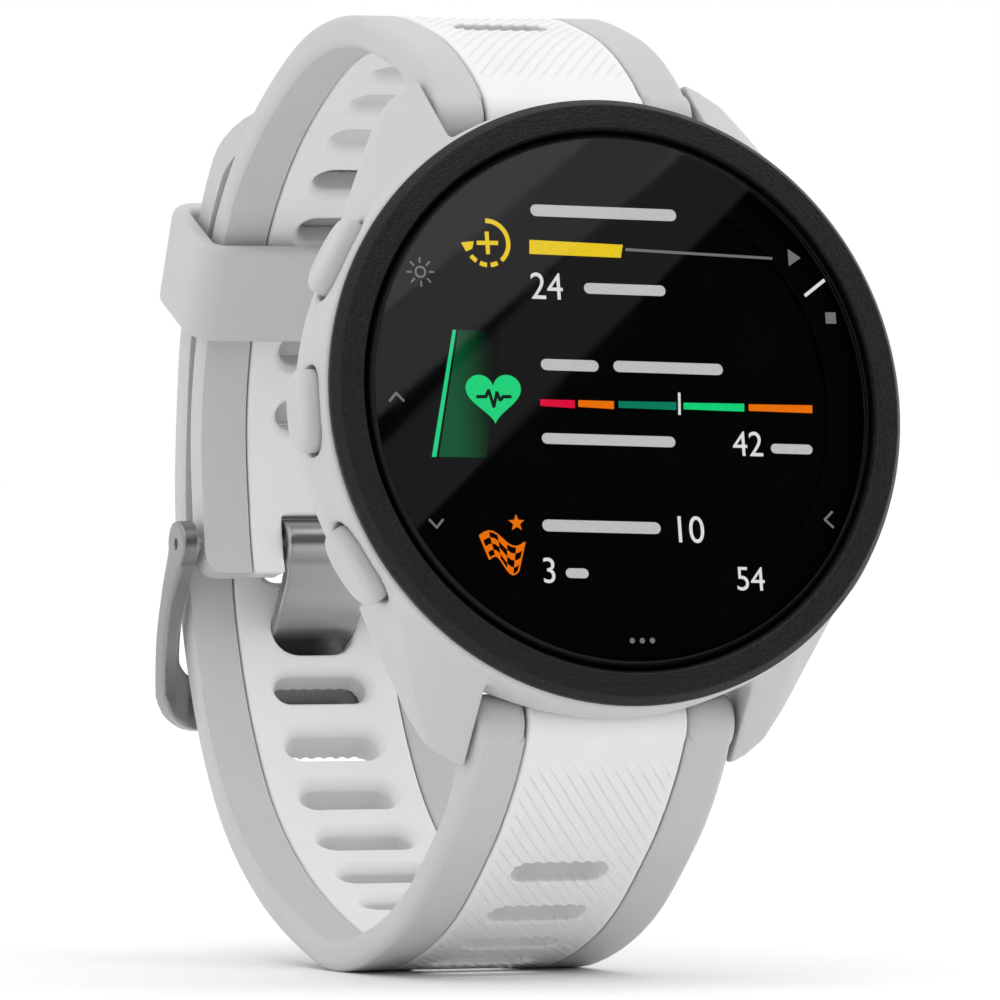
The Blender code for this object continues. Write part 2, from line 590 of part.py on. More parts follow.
def main():
    for old in list(bpy.data.objects):
        bpy.data.objects.remove(old)
    looks = {
        "case": material("light grey polymer", (0.58, 0.58, 0.59), 0.55),
        "rail": material("light grey silicone", (0.57, 0.57, 0.58), 0.6),
        "insert": material("white silicone", (0.80, 0.80, 0.82), 0.6),
        "bezel": material("grained black polymer", (0.03, 0.03, 0.03), 0.6),
        "glass": material("lens glass", (0.02, 0.02, 0.02), 0.08, alpha=0.35),
        "display": material("display", (0.01, 0.01, 0.012), 0.2),
        "magnesium": material("magnesium", (0.45, 0.45, 0.47), 0.45, 1.0),
        "copper": material("antenna copper", (0.7, 0.4, 0.25), 0.35, 1.0),
        "battery": material("battery pouch", (0.55, 0.56, 0.58), 0.4, 0.8),
        "board": material("circuit board", (0.02, 0.12, 0.06), 0.5),
        "steel": material("stainless steel", (0.55, 0.55, 0.56), 0.3, 1.0),
        "gunmetal": material("gunmetal steel", (0.22, 0.22, 0.23), 0.35, 1.0),
        "black": material("black plastic", (0.02, 0.02, 0.02), 0.5),
        "rubber": material("black rubber", (0.03, 0.03, 0.03), 0.8),
        "cover": material("dark grey polymer", (0.10, 0.10, 0.11), 0.5),
        "window": material("sensor window", (0.02, 0.02, 0.03), 0.1),
        "gold": material("gold plating", (0.85, 0.62, 0.25), 0.25, 1.0),
    }
    make_case(looks["case"])
    make_bezel(looks["bezel"])
    make_front_stack(looks)
    make_inside(looks)
    make_rear(looks)
    for name, angle in BUTTONS.items():
        make_button(name, angle, looks)
    make_spring_bar("upper", 1, looks)
    make_spring_bar("lower", -1, looks)
    short, pin_s = make_strap(looks)
    make_keeper(short, pin_s, looks)
    make_buckle(looks)
    stand_on_loop()


main()
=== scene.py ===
import math

import bmesh
import bpy
import numpy as np
from mathutils import Matrix, Vector, kdtree


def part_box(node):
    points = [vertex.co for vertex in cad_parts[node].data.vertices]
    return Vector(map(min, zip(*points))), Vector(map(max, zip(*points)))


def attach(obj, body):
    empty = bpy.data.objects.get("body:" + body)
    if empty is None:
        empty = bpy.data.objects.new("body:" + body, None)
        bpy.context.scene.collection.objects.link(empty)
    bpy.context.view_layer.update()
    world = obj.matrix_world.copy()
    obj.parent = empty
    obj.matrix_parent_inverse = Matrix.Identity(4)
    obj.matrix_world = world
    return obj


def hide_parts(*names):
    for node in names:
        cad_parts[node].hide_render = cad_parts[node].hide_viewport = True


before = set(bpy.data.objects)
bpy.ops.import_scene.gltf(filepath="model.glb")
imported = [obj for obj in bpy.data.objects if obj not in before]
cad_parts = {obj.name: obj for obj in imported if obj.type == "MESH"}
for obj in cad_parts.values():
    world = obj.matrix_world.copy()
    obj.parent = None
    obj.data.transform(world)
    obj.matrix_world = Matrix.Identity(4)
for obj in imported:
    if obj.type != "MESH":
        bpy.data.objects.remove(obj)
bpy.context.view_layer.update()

# Everything is modelled in the watch's own frame, in millimetres: X to 3 o'clock, Z to 12 o'clock and Y from
# the dial to the wrist, y = 0 at the bezel's back edge. finished() carries each piece to the model's frame.
MM = 0.001
LEAN = math.radians(10.2)
PANEL_MIDDLE_Y = 0.45


def watch_to_row():
    low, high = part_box("display_panel")
    turn = Matrix.Rotation(-LEAN, 4, "X")
    middle = turn @ Vector((0, PANEL_MIDDLE_Y * MM, 0))
    return Matrix.Translation((low + high) / 2 - middle) @ turn @ Matrix.Scale(MM, 4)


TO_ROW = watch_to_row()

# Case and front
CASE_R, CASE_BACK = 21.45, 8.9
CAVITY_R = 18.1
BEZEL_R, BEZEL_FACE_R, BEZEL_FACE_IN_R = 21.25, 20.75, 19.2
BEZEL_LIP, BEZEL_FRONT = -1.5, -1.2
LENS_R, LENS_FRONT, LENS_BACK = 18.65, -1.4, -0.35
GRAPHICS_Y = -0.335  # the lit marks lie just behind the lens
ROW_TILT = -1.6  # the display's rows run slightly down to the right

# Buttons
BUTTONS = {"light": 150, "up": 180, "down": 210, "start": 30, "back": 330}
BUTTON_Y = 3.3
CAP_HALF = (2.9, 1.8)
CAP_TOP = {"light": 22.5, "up": 22.5, "down": 22.5, "start": 22.0, "back": 22.0}
CAP_EDGE = 0.62

# Strap
BAR = (7.0, 21.3)
KNUCKLE_R, BAR_HOLE_R = 2.08, 1.0
STRAP_HALF, INSERT_HALF, STRAP_T = 9.7, 6.0, 2.3
SLOT_HALF_LENGTH, SLOT_HALF_WIDTH, STRETCHED_SLOT = 3.6, 1.1, 1.95
LONG_PITCH, PITCH_GROWTH, SHORT_PITCH = 4.85, 0.015, 5.0
FIRST_SHORT_SLOT = 9.7  # from the buckle's pin
TAIL_START, TAIL_REACH = 13.5, 35.5  # from the pin; between these the tail lies on the short half
LAYER_GAP = 0.4
TIP_WITHOUT_SLOTS = 9.0
# The slots slant through the strap by different amounts, fitted to what the photo shows through them.
# The CAD's slots run straight.
SLOT_LEAN = 0.28  # towards the lug on the way out, each way from the middle
INNER_SLOTS_SHIFT = 0.7  # and this much further at the outer face, from the second slot below the tongue's
FRONT_SLOTS_LEAN = -0.12
FRONT_SLOTS_END = 30.0  # how far along the long half the front slots reach
INNER_SLOTS_GAP = 7.0  # how far below the tongue's slot the inner ones begin
TONGUE_SLOT_HALF_LENGTH, TONGUE_SLOT_FLARE = 3.25, 0.2
GROOVE_PITCH, GROOVE_SLANT, GROOVE_DEPTH, SCALLOP = 0.95, 1.25, 0.12, 0.07
LONG_LINE = (
    (7.0, -21.3), (8.6, -23.7), (11.2, -26.4), (14.3, -28.5), (21.4, -32.0), (29.1, -33.6), (36.8, -33.4),
    (44.0, -30.4), (50.6, -26.2), (56.1, -20.7), (59.7, -13.8), (61.6, -6.3), (61.8, 0.0), (61.2, 5.6),
)
SHORT_LINE = (
    (7.0, 21.3), (8.6, 23.6), (11.1, 26.1), (14.3, 28.0), (21.4, 30.7), (29.0, 31.3), (36.4, 29.7),
    (43.5, 26.7), (49.6, 22.2), (54.1, 16.1), (56.9, 9.1), (57.6, 1.5), (57.5, -2.5),
)
TONGUE_SLOT = (61.6, -6.3)
PIN = (57.5, -0.1)
ARM_LINE = ((57.5, -0.1), (58.7, -1.5), (60.6, -3.7), (62.1, -6.4), (62.8, -9.2), (63.2, -12.3))
TONGUE_LINE = (
    (57.0, -1.1), (58.2, -3.0), (59.2, -4.7), (60.5, -5.8), (62.7, -6.9), (64.3, -8.6), (65.05, -13.0),
)
KEEPER_BEFORE_PIN, KEEPER_HEIGHT, KEEPER_WALL = 20.0, 7.4, 1.5
BUCKLE_HALF, BUCKLE_INNER_HALF, TONGUE_HALF = 11.6, 10.3, 3.3

SOFT_VOXEL, FINE_VOXEL = 0.2, 0.15


# ---------------------------------------------------------------- camera, floor and light


def make_camera():
    right = Vector((0.927804882, -0.373065775, -0.000151406))
    up = Vector((0.00271371, 0.00634309, 0.99997618))
    back = right.cross(up)
    data = bpy.data.cameras.new("camera")
    data.lens, data.sensor_width = 376.554, 36.0
    data.clip_start, data.clip_end = 0.01, 50
    camera = bpy.data.objects.new("camera", data)
    turn = Matrix((right, up, back)).transposed().to_4x4()
    camera.matrix_world = Matrix.Translation((-0.27630362, -0.69589337, 0.03880636)) @ turn
    bpy.context.scene.collection.objects.link(camera)
    bpy.context.scene.camera = camera
    return camera


def dial_point(x, z, y=LENS_FRONT):
    return TO_ROW @ Vector((x, y, z))


def mirrored_in_lens(camera):
    """The camera's position mirrored in the lens, and the direction in which the lens reflects its view."""
    middle = dial_point(0, 0)
    normal = (dial_point(0, 0, LENS_FRONT - 1) - middle).normalized()
    eye = camera.matrix_world.translation
    mirrored = eye - 2 * (eye - middle).dot(normal) * normal
    return mirrored, (middle - mirrored).normalized()


def make_world(dark_way):
    """An even white room, dark only around one direction, so that the lens looks black."""
    world = bpy.data.worlds.new("studio")
    bpy.context.scene.world = world
    world.use_nodes = True
    g = Graph(world.node_tree)
    g.clear()
    way = g.node("ShaderNodeTexCoord").outputs["Generated"]
    dot = g.node("ShaderNodeVectorMath", operation="DOT_PRODUCT", values={0: way, 1: tuple(dark_way)})
    shade = g.ranged(dot.outputs["Value"], 0.80, 0.93, 1.0, 0.0)
    room = g.node("ShaderNodeBackground", values={"Color": (1, 1, 1, 1), "Strength": shade})
    white = g.node("ShaderNodeBackground", values={"Color": (1, 1, 1, 1), "Strength": 1.0})
    path = g.node("ShaderNodeLightPath")
    mix = g.node("ShaderNodeMixShader", values={0: path.outputs["Is Camera Ray"], 1: room.outputs[0],
                                                2: white.outputs[0]})
    out = g.node("ShaderNodeOutputWorld")
    g.link(mix.outputs[0], out.inputs[0])


def make_strip(name, first, second, radiance, mirrored, away, distance=1.1):
    """A softbox strip seen in the lens between two lines, each given by two points of the dial."""
    def on_screen(point):
        ray = dial_point(*point) - mirrored
        return mirrored + ray * ((distance + (dial_point(0, 0) - mirrored).length) / ray.dot(away))
    a, b, c, d = (on_screen(p) for p in first + second)
    along = (a - b).normalized()
    middle = (a + b + c + d) / 4
    gap = (c + d) / 2 - (a + b) / 2
    across = gap - gap.dot(along) * along
    width = across.length
    across.normalize()
    data = bpy.data.lights.new(name, "AREA")
    data.shape = "RECTANGLE"
    data.size, data.size_y = 0.30, width
    data.energy = radiance * math.pi * data.size * data.size_y
    facing = along.cross(across)
    if facing.dot(away) < 0:
        across = -across
        facing = -facing
    lamp = bpy.data.objects.new(name, data)
    lamp.matrix_world = Matrix.Translation(middle) @ Matrix((along, across, facing)).transposed().to_4x4()
    bpy.context.scene.collection.objects.link(lamp)


def make_light(camera):
    mirrored, away = mirrored_in_lens(camera)
    make_world(away)
    borders = (
        ((-14.0, 30.0), (-30.0, 17.6)), ((-1.65, 18.1), (-14.0, 8.5)), ((5.3, 18.0), (-8.5, 5.5)),
        ((7.6, 12.2), (-1.4, 4.1)),
    )
    for i, radiance in enumerate((0.62, 0.36, 0.15)):
        make_strip(f"strip_{i + 1}", borders[i], borders[i + 1], radiance, mirrored, away)
    for name, way, energy in (("key", (0.02, -0.40, 1.0), 0.65), ("fill", (1.0, -0.40, 0.25), 0.75)):
        sun = bpy.data.lights.new(name, "SUN")
        sun.energy, sun.angle = energy, math.radians(60)
        lamp = bpy.data.objects.new(name, sun)
        lamp.rotation_mode = "QUATERNION"
        lamp.rotation_quaternion = Vector(way).to_track_quat("Z", "Y")
        lamp.visible_glossy = name == "key"
        bpy.context.scene.collection.objects.link(lamp)


def make_floor():
    bm = bmesh.new()
    bmesh.ops.create_grid(bm, x_segments=8, y_segments=8, size=6.0)
    mesh = bpy.data.meshes.new("floor")
    bm.to_mesh(mesh)
    bm.free()
    floor = bpy.data.objects.new("floor", mesh)
    bpy.context.scene.collection.objects.link(floor)
    g = Graph.material("floor_paint", rough=0.9)
    cloud = g.noise(3.0, detail=2)
    g.colour(g.ramp(cloud, ((0.3, (0.93, 0.93, 0.93)), (0.7, (0.95, 0.95, 0.95)))))
    g.shader.inputs["Specular IOR Level"].default_value = 0.0
    mesh.materials.append(g.owner)


# ---------------------------------------------------------------- materials


class Graph:
    """Builds a node tree in few words."""

    def __init__(self, tree, owner=None):
        self.tree, self.owner = tree, owner
        self.shader = tree.nodes.get("Principled BSDF")

    @classmethod
    def material(cls, name, rough=0.5, metallic=0.0, specular=0.5):
        made = bpy.data.materials.new(name)
        made.use_nodes = True
        g = cls(made.node_tree, made)
        g.shader.inputs["Roughness"].default_value = rough
        g.shader.inputs["Metallic"].default_value = metallic
        g.shader.inputs["Specular IOR Level"].default_value = specular
        return g

    def clear(self):
        self.tree.nodes.clear()

    def link(self, a, b):
        self.tree.links.new(a, b)

    def node(self, kind, values=None, **settings):
        made = self.tree.nodes.new(kind)
        for key, value in settings.items():
            setattr(made, key, value)
        for key, value in (values or {}).items():
            if isinstance(value, bpy.types.NodeSocket):
                self.link(value, made.inputs[key])
            else:
                made.inputs[key].default_value = value
        return made

    def math(self, operation, a, b=None, c=None):
        values = {k: v for k, v in enumerate((a, b, c)) if v is not None}
        return self.node("ShaderNodeMath", values, operation=operation).outputs[0]

    def place(self, stretch=None):
        """Object coordinates in metres, stretched along some axes if asked."""
        at = self.node("ShaderNodeTexCoord").outputs["Object"]
        return self.node("ShaderNodeMapping", {"Vector": at, "Scale": stretch}).outputs[0] if stretch else at

    def noise(self, scale, detail=3.0, rough=0.55, at=None):
        values = {"Vector": at or self.place(), "Scale": scale, "Detail": detail, "Roughness": rough}
        return self.node("ShaderNodeTexNoise", values).outputs["Fac"]

    def ramp(self, value, stops):
        made = self.node("ShaderNodeValToRGB", {"Fac": value})
        ramp = made.color_ramp
        while len(ramp.elements) < len(stops):
            ramp.elements.new(0.5)
        for element, (at, colour) in zip(ramp.elements, stops):
            element.position, element.color = at, (*colour, 1)
        return made.outputs["Color"]

    def ranged(self, value, start, end, low=0.0, high=1.0, kind="LINEAR"):
        """Goes from low to high as the value goes from start to end."""
        values = {"Value": value, "From Min": start, "From Max": end, "To Min": low, "To Max": high}
        return self.node("ShaderNodeMapRange", values, interpolation_type=kind).outputs[0]

    def spread(self, value, low, high):
        return self.ranged(value, 0.0, 1.0, low, high)

    def colour(self, socket):
        self.link(socket, self.shader.inputs["Base Color"])

    def rough(self, socket):
        self.link(socket, self.shader.inputs["Roughness"])

    def bump(self, height, distance, strength=1.0, below=None):
        made = self.node("ShaderNodeBump", {"Height": height, "Strength": strength, "Distance": distance})
        if below:
            self.link(below, made.inputs["Normal"])
        self.link(made.outputs[0], self.shader.inputs["Normal"])
        return made.outputs[0]


def shades(colour, spread):
    low, high = 1 - spread, 1 + spread
    return ((0.3, tuple(c * low for c in colour)), (0.7, tuple(min(1, c * high) for c in colour)))


def polymer(name, colour, rough, spread=0.02, grain=5200, depth=0.000012, specular=0.4):
    """Moulded plastic or silicone: faint blotches, uneven sheen and a fine spark-eroded grain."""
    g = Graph.material(name, rough, specular=specular)
    g.colour(g.ramp(g.noise(160, 4), shades(colour, spread)))
    g.rough(g.spread(g.noise(900, 3), rough - 0.07, rough + 0.07))
    g.bump(g.noise(grain, 3, 0.6), depth, 0.8)
    return g.owner


def brushed(name, colour, rough, along=(60, 9000, 9000), spread=0.10):
    """Metal with fine brush lines along one axis."""
    g = Graph.material(name, rough, 1.0)
    lines = g.noise(1.0, 4, 0.6, g.place(along))
    g.colour(g.ramp(lines, shades(colour, spread)))
    g.rough(g.spread(lines, rough - 0.08, rough + 0.10))
    g.bump(lines, 0.000006, 0.6)
    return g.owner


def grained_black():
    """Black polymer with a leather-like grain."""
    g = Graph.material("bezel_black", 0.5, specular=0.22)
    at = g.place()
    wander = g.node("ShaderNodeTexNoise", {"Vector": at, "Scale": 1400}).outputs["Color"]
    wander = g.node("ShaderNodeVectorMath", {0: wander, 1: (0.0003, 0.0003, 0.0003)}, operation="MULTIPLY")
    bent = g.node("ShaderNodeVectorMath", {0: at, 1: wander.outputs[0]}, operation="ADD")
    cells = g.node("ShaderNodeTexVoronoi", {"Vector": bent.outputs[0], "Scale": 4800}, feature="SMOOTH_F1")
    pores = g.ranged(cells.outputs["Distance"], 0.1, 0.75)
    g.colour(g.ramp(pores, ((0.0, (0.012, 0.012, 0.0125)), (1.0, (0.006, 0.006, 0.0065)))))
    g.rough(g.spread(g.noise(1500), 0.36, 0.52))
    fine = g.bump(g.noise(9000, 2), 0.00001, 0.7)
    g.bump(g.math("SUBTRACT", 1.0, pores), 0.000028, 0.9, fine)
    return g.owner


def lens_look():
    """Clear glass: what lies behind shows through, with both faces' Fresnel gloss and faint smudges."""
    g = Graph.material("lens_clear")
    g.clear()
    fresnel = g.node("ShaderNodeFresnel", {"IOR": 1.52}).outputs[0]
    behind = g.node("ShaderNodeNewGeometry").outputs["Backfacing"]
    fresnel = g.math("MINIMUM", g.math("MULTIPLY", fresnel, g.math("MULTIPLY_ADD", behind, -2.0, 2.0)), 1.0)
    clear = g.node("ShaderNodeBsdfTransparent", {"Color": (0.97, 0.97, 0.97, 1)})
    gloss = g.node("ShaderNodeBsdfGlossy", {"Roughness": g.spread(g.noise(120, 3), 0.0, 0.03)})
    mix = g.node("ShaderNodeMixShader", {0: fresnel, 1: clear.outputs[0], 2: gloss.outputs[0]})
    g.link(mix.outputs[0], g.node("ShaderNodeOutputMaterial").inputs[0])
    return g.owner


def panel_look():
    g = Graph.material("panel_black", 0.35, specular=0.05)
    grid = g.noise(8000, 1)
    g.colour(g.ramp(grid, ((0.3, (0.0008, 0.0008, 0.0009)), (0.7, (0.0016, 0.0016, 0.0018)))))
    return g.owner


def lit(name, colour, fade=None):
    """A lit mark, faintly uneven like the display's pixels. It can fade out between two x, in metres."""
    g = Graph.material(name, 0.6, specular=0.0)
    g.shader.inputs["Base Color"].default_value = (0, 0, 0, 1)
    tone = g.ramp(g.noise(5200, 1), ((0.35, tuple(c * 0.93 for c in colour)), (0.65, colour)))
    g.link(tone, g.shader.inputs["Emission Color"])
    g.shader.inputs["Emission Strength"].default_value = 1.0
    if fade:
        across = g.node("ShaderNodeSeparateXYZ", {0: g.place()}).outputs[0]
        g.link(g.ranged(across, *fade, 1.0, 0.0, "SMOOTHSTEP"), g.shader.inputs["Emission Strength"])
    return g.owner


def insert_look():
    """White silicone, with painted shade inside its slots: the slot walls take a darker grey that stands in
    for their shadow. Bump sharpens the grooves on the mesh's outer face.
    """
    g = Graph.material("insert_white", 0.55, specular=0.4)
    g.rough(g.spread(g.noise(900), 0.48, 0.62))
    flat = g.node("ShaderNodeAttribute", attribute_name="flat").outputs["Vector"]
    x, s, n = g.node("ShaderNodeSeparateXYZ", {0: flat}).outputs
    below = g.ranged(n, -0.95, -0.45)
    above = g.ranged(n, 0.9, 1.05, 1.0, 0.0)
    skin = g.ramp(g.noise(160, 4), shades((0.83, 0.83, 0.842), 0.015))
    # painted shade: the slot walls between the inner and outer faces get this darker grey in place of the
    # shadow inside the slots
    slot_shade_grey = g.ramp(g.noise(160, 4), shades((0.64, 0.64, 0.645), 0.015))
    inside = g.math("MULTIPLY", below, above)
    g.colour(g.node("ShaderNodeMix", {0: inside, 6: skin, 7: slot_shade_grey}, data_type="RGBA").outputs[2])
    phase = g.math("DIVIDE", g.math("SUBTRACT", x, g.math("DIVIDE", s, GROOVE_SLANT)), GROOVE_PITCH)
    saw = g.math("FRACT", g.math("ADD", phase, 200.0))
    edge = g.ranged(saw, 0.82, 1.0, 1.0, 0.0, "SMOOTHSTEP")
    ridge = g.math("MULTIPLY", g.math("MULTIPLY_ADD", saw, 0.8, 0.2), edge)
    outside = g.ranged(n, 0.35, 0.75)
    begins = g.ranged(s, 1.9, 3.2)
    sides = g.ranged(g.math("ABSOLUTE", x), 5.2, 5.7, 1.0, 0.0)
    mask = g.math("MULTIPLY", g.math("MULTIPLY", outside, begins), sides)
    fine = g.bump(g.noise(5200, 3, 0.6), 0.000012, 0.7)
    g.bump(g.math("MULTIPLY", ridge, mask), 0.00009, 0.8, fine)
    return g.owner


# ---------------------------------------------------------------- meshes


def new_object(name, bm):
    mesh = bpy.data.meshes.new(name)
    bm.to_mesh(mesh)
    bm.free()
    made = bpy.data.objects.new(name, mesh)
    bpy.context.scene.collection.objects.link(made)
    return made


def settled(made):
    """Applies the object's modifiers."""
    graph = bpy.context.evaluated_depsgraph_get()
    mesh = bpy.data.meshes.new_from_object(made.evaluated_get(graph))
    made.modifiers.clear()
    old, made.data = made.data, mesh
    bpy.data.meshes.remove(old)
    return made


def combine(target, tools, operation):
    """Joins the tools, which don't touch each other, into one and applies them."""
    bm = bmesh.new()
    for tool in tools:
        bm.from_mesh(tool.data)
        bpy.data.objects.remove(tool)
    tool = new_object("tool", bm)
    modifier = target.modifiers.new("boolean", "BOOLEAN")
    modifier.operation, modifier.solver, modifier.object = operation, "MANIFOLD", tool
    settled(target)
    bpy.data.objects.remove(tool)
    return target


def cut(target, *tools):
    return combine(target, tools, "DIFFERENCE")


def fuse(target, *tools):
    for tool in tools:
        combine(target, [tool], "UNION")
    return target


def gather(target, *others):
    """Puts the others' meshes into the target's, as shells that a remesh then makes one."""
    bm = bmesh.new()
    for made in (target, *others):
        bm.from_mesh(made.data)
    bm.to_mesh(target.data)
    bm.free()
    for made in others:
        bpy.data.objects.remove(made)
    return target


def soften(made, voxel, passes):
    """One even skin with softly rounded edges."""
    remesh = made.modifiers.new("skin", "REMESH")
    remesh.mode, remesh.voxel_size, remesh.adaptivity = "VOXEL", voxel, 0.0
    smooth = made.modifiers.new("smooth", "SMOOTH")
    smooth.iterations, smooth.factor = passes, 0.5
    return settled(made)


def finished(made, name, look, body, nodes=(), crease=None):
    """Names a piece, carries it into the model's frame, hangs it on its body and hides the CAD nodes that it
    stands for.
    """
    made.name = made.data.name = name
    made.data.transform(TO_ROW)
    made.data.materials.clear()
    made.data.materials.append(look)
    made.data.shade_smooth()
    if crease:
        made.data.set_sharp_from_angle(angle=math.radians(crease))
        normals = made.modifiers.new("flat faces stay flat", "WEIGHTED_NORMAL")
        normals.weight, normals.keep_sharp = 100, True
    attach(made, body)
    if nodes:
        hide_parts(*nodes)
    return made


def filleted(profile, radius, steps=4):
    """The closed profile with its corners rounded."""
    out = []
    count = len(profile)
    for i, p in enumerate(profile):
        p = Vector(p)
        before, after = Vector(profile[i - 1]) - p, Vector(profile[(i + 1) % count]) - p
        if p.x < 1e-6 or min(before.length, after.length) < 1e-6:
            out.append(tuple(p))
            continue
        half = before.angle(after) / 2
        reach = min(radius / math.tan(half), 0.45 * before.length, 0.45 * after.length)
        a, b = p + before.normalized() * reach, p + after.normalized() * reach
        for t in np.linspace(0, 1, steps + 1):
            out.append(tuple((1 - t) ** 2 * a + 2 * t * (1 - t) * p + t * t * b))
    return out


def lathe(profile, steps=192):
    bm = bmesh.new()
    rings = []
    for radius, y in profile:
        if radius < 1e-6:
            rings.append([bm.verts.new((0, y, 0))])
            continue
        turn = [2 * math.pi * (i + 0.5) / steps for i in range(steps)]
        rings.append([bm.verts.new((radius * math.cos(a), y, radius * math.sin(a))) for a in turn])
    for first, second in zip(rings, rings[1:] + rings[:1]):
        if len(first) == 1 and len(second) == 1:
            continue
        for i in range(steps):
            j = (i + 1) % steps
            around = (first, i), (first, j), (second, j), (second, i)
            bm.faces.new(list(dict.fromkeys(ring[k % len(ring)] for ring, k in around)))
    bmesh.ops.recalc_face_normals(bm, faces=bm.faces)
    return new_object("lathe", bm)


def loft(loops, closed=False):
    bm = bmesh.new()
    rows = [[bm.verts.new(p) for p in loop] for loop in loops]
    for first, second in list(zip(rows, rows[1:])) + ([(rows[-1], rows[0])] if closed else []):
        for i in range(len(first)):
            j = (i + 1) % len(first)
            bm.faces.new((first[i], first[j], second[j], second[i]))
    if not closed:
        bm.faces.new(rows[0])
        bm.faces.new(rows[-1])
    bmesh.ops.recalc_face_normals(bm, faces=bm.faces)
    return new_object("loft", bm)


def rod(start, end, radius, steps=40):
    start, end = Vector(start), Vector(end)
    along = (end - start).normalized()
    side = along.orthogonal().normalized()
    other = along.cross(side)
    turn = [2 * math.pi * i / steps for i in range(steps)]
    circle = [radius * (math.cos(a) * side + math.sin(a) * other) for a in turn]
    return loft([[at + spoke for spoke in circle] for at in (start, end)])


def box(low, high):
    (x0, y0, z0), (x1, y1, z1) = low, high
    return loft([[(x, y0, z0), (x, y1, z0), (x, y1, z1), (x, y0, z1)] for x in (x0, x1)])


def hull(points):
    bm = bmesh.new()
    for point in points:
        bm.verts.new(point)
    made = bmesh.ops.convex_hull(bm, input=bm.verts)
    loose = {v for v in made["geom_interior"] + made["geom_unused"] if isinstance(v, bmesh.types.BMVert)}
    bmesh.ops.delete(bm, geom=list(loose), context="VERTS")
    bmesh.ops.recalc_face_normals(bm, faces=bm.faces)
    return new_object("hull", bm)


def plate(outline, low, high, round_edges=0.0, segments=3):
    bm = bmesh.new()
    loops = [[bm.verts.new((x, s, n)) for x, s in outline] for n in (low, high)]
    for i in range(len(outline)):
        j = (i + 1) % len(outline)
        bm.faces.new((loops[0][i], loops[0][j], loops[1][j], loops[1][i]))
    rims = [bm.faces.new(loop) for loop in loops]
    if round_edges:
        edges = [e for rim in rims for e in rim.edges]
        bmesh.ops.bevel(bm, geom=edges, offset=round_edges, segments=segments, profile=0.5, affect="EDGES")
    bmesh.ops.recalc_face_normals(bm, faces=bm.faces)
    return new_object("plate", bm)


def radial(angle_deg, radius, y, sideways=0.0):
    a = math.radians(angle_deg)
    out, rim = Vector((math.cos(a), 0, math.sin(a))), Vector((-math.sin(a), 0, math.cos(a)))
    return out * radius + rim * sideways + Vector((0, y, 0))


# ---------------------------------------------------------------- the strap's lines


class Line:
    """A smooth line in the YZ plane by arc length, with outward normals. Past its ends it is straight."""

    def __init__(self, points, outward, dense=24):
        p = np.array(points, float)
        p = np.vstack([2 * p[0] - p[1], p, 2 * p[-1] - p[-2]])
        path = []
        for i in range(1, len(p) - 2):
            a, b, c, d = p[i - 1 : i + 3]
            for t in np.linspace(0, 1, dense, endpoint=False):
                path.append(0.5 * (2 * b + (c - a) * t + (2 * a - 5 * b + 4 * c - d) * t**2
                                   + (3 * b - a - 3 * c + d) * t**3))
        path.append(p[-2])
        self.path = np.array(path)
        self.length_at = np.r_[0, np.cumsum(np.linalg.norm(np.diff(self.path, axis=0), axis=1))]
        self.length = float(self.length_at[-1])
        slope = np.gradient(self.path, axis=0)
        self.slope = slope / np.linalg.norm(slope, axis=1)[:, None]
        self.normal = outward * np.c_[self.slope[:, 1], -self.slope[:, 0]]

    def at(self, s):
        inside = min(max(s, 0.0), self.length)
        place, slope, normal = (
            np.array([np.interp(inside, self.length_at, table[:, k]) for k in (0, 1)])
            for table in (self.path, self.slope, self.normal)
        )
        return place + (s - inside) * slope, normal / np.linalg.norm(normal)

    def nearest(self, point):
        return float(self.length_at[np.argmin(np.linalg.norm(self.path - np.array(point), axis=1))])

    def bend(self, made, thickness=None, step=1.0):
        bm = bmesh.new()
        bm.from_mesh(made.data)
        low, high = (f(v.co.y for v in bm.verts) for f in (min, max))
        for s in np.arange(math.ceil(low / step) * step, high, step):
            if low + 0.02 < s < high - 0.02:
                whole = bm.verts[:] + bm.edges[:] + bm.faces[:]
                bmesh.ops.bisect_plane(bm, geom=whole, plane_co=(0, s, 0), plane_no=(0, 1, 0), dist=0.005)
        bmesh.ops.triangulate(bm, faces=bm.faces)
        for v in bm.verts:
            x, s, n = v.co
            place, normal = self.at(s)
            place = place + normal * n * (thickness(s) if thickness else 1.0)
            v.co = (x, place[0], place[1])
        bm.to_mesh(made.data)
        bm.free()
        return made

    def store_flat(self, made):
        """Keeps each vertex's place on the strap, (across, along, outwards) in mm, and sinks the grooves."""
        tree = kdtree.KDTree(len(self.path))
        for i, (y, z) in enumerate(self.path):
            tree.insert((0, y, z), i)
        tree.balance()
        count = len(made.data.vertices)
        co = np.empty(count * 3)
        made.data.vertices.foreach_get("co", co)
        co = co.reshape(-1, 3)
        index = np.array([tree.find((0, y, z))[1] for _, y, z in co])
        gap = co[:, 1:] - self.path[index]
        along = self.length_at[index] + (gap * self.slope[index]).sum(1)
        out = (gap * self.normal[index]).sum(1)
        flat = made.data.attributes.new("flat", "FLOAT_VECTOR", "POINT")
        flat.data.foreach_set("vector", np.c_[co[:, 0], along, out].astype(np.float32).ravel())
        saw = groove_phase(co[:, 0], along) % 1.0
        low = 1 - np.where(saw < 0.8, saw / 0.8, (1 - saw) / 0.2)
        low *= np.clip((out - 0.8) / 0.25, 0, 1) * np.clip((along - 1.9) / 1.3, 0, 1)
        low *= np.clip((5.7 - abs(co[:, 0])) / 0.5, 0, 1)
        co[:, 1:] -= self.normal[index] * (GROOVE_DEPTH * low)[:, None]
        made.data.vertices.foreach_set("co", co.ravel())


def rounded_end(half, start, end, corner, steps=10):
    arc = [math.pi / 2 * i / steps for i in range(steps + 1)]
    right = [(half - corner + corner * math.cos(a), end - corner + corner * math.sin(a)) for a in arc]
    return [(-half, start), (half, start)] + right + [(-x, s) for x, s in reversed(right)]


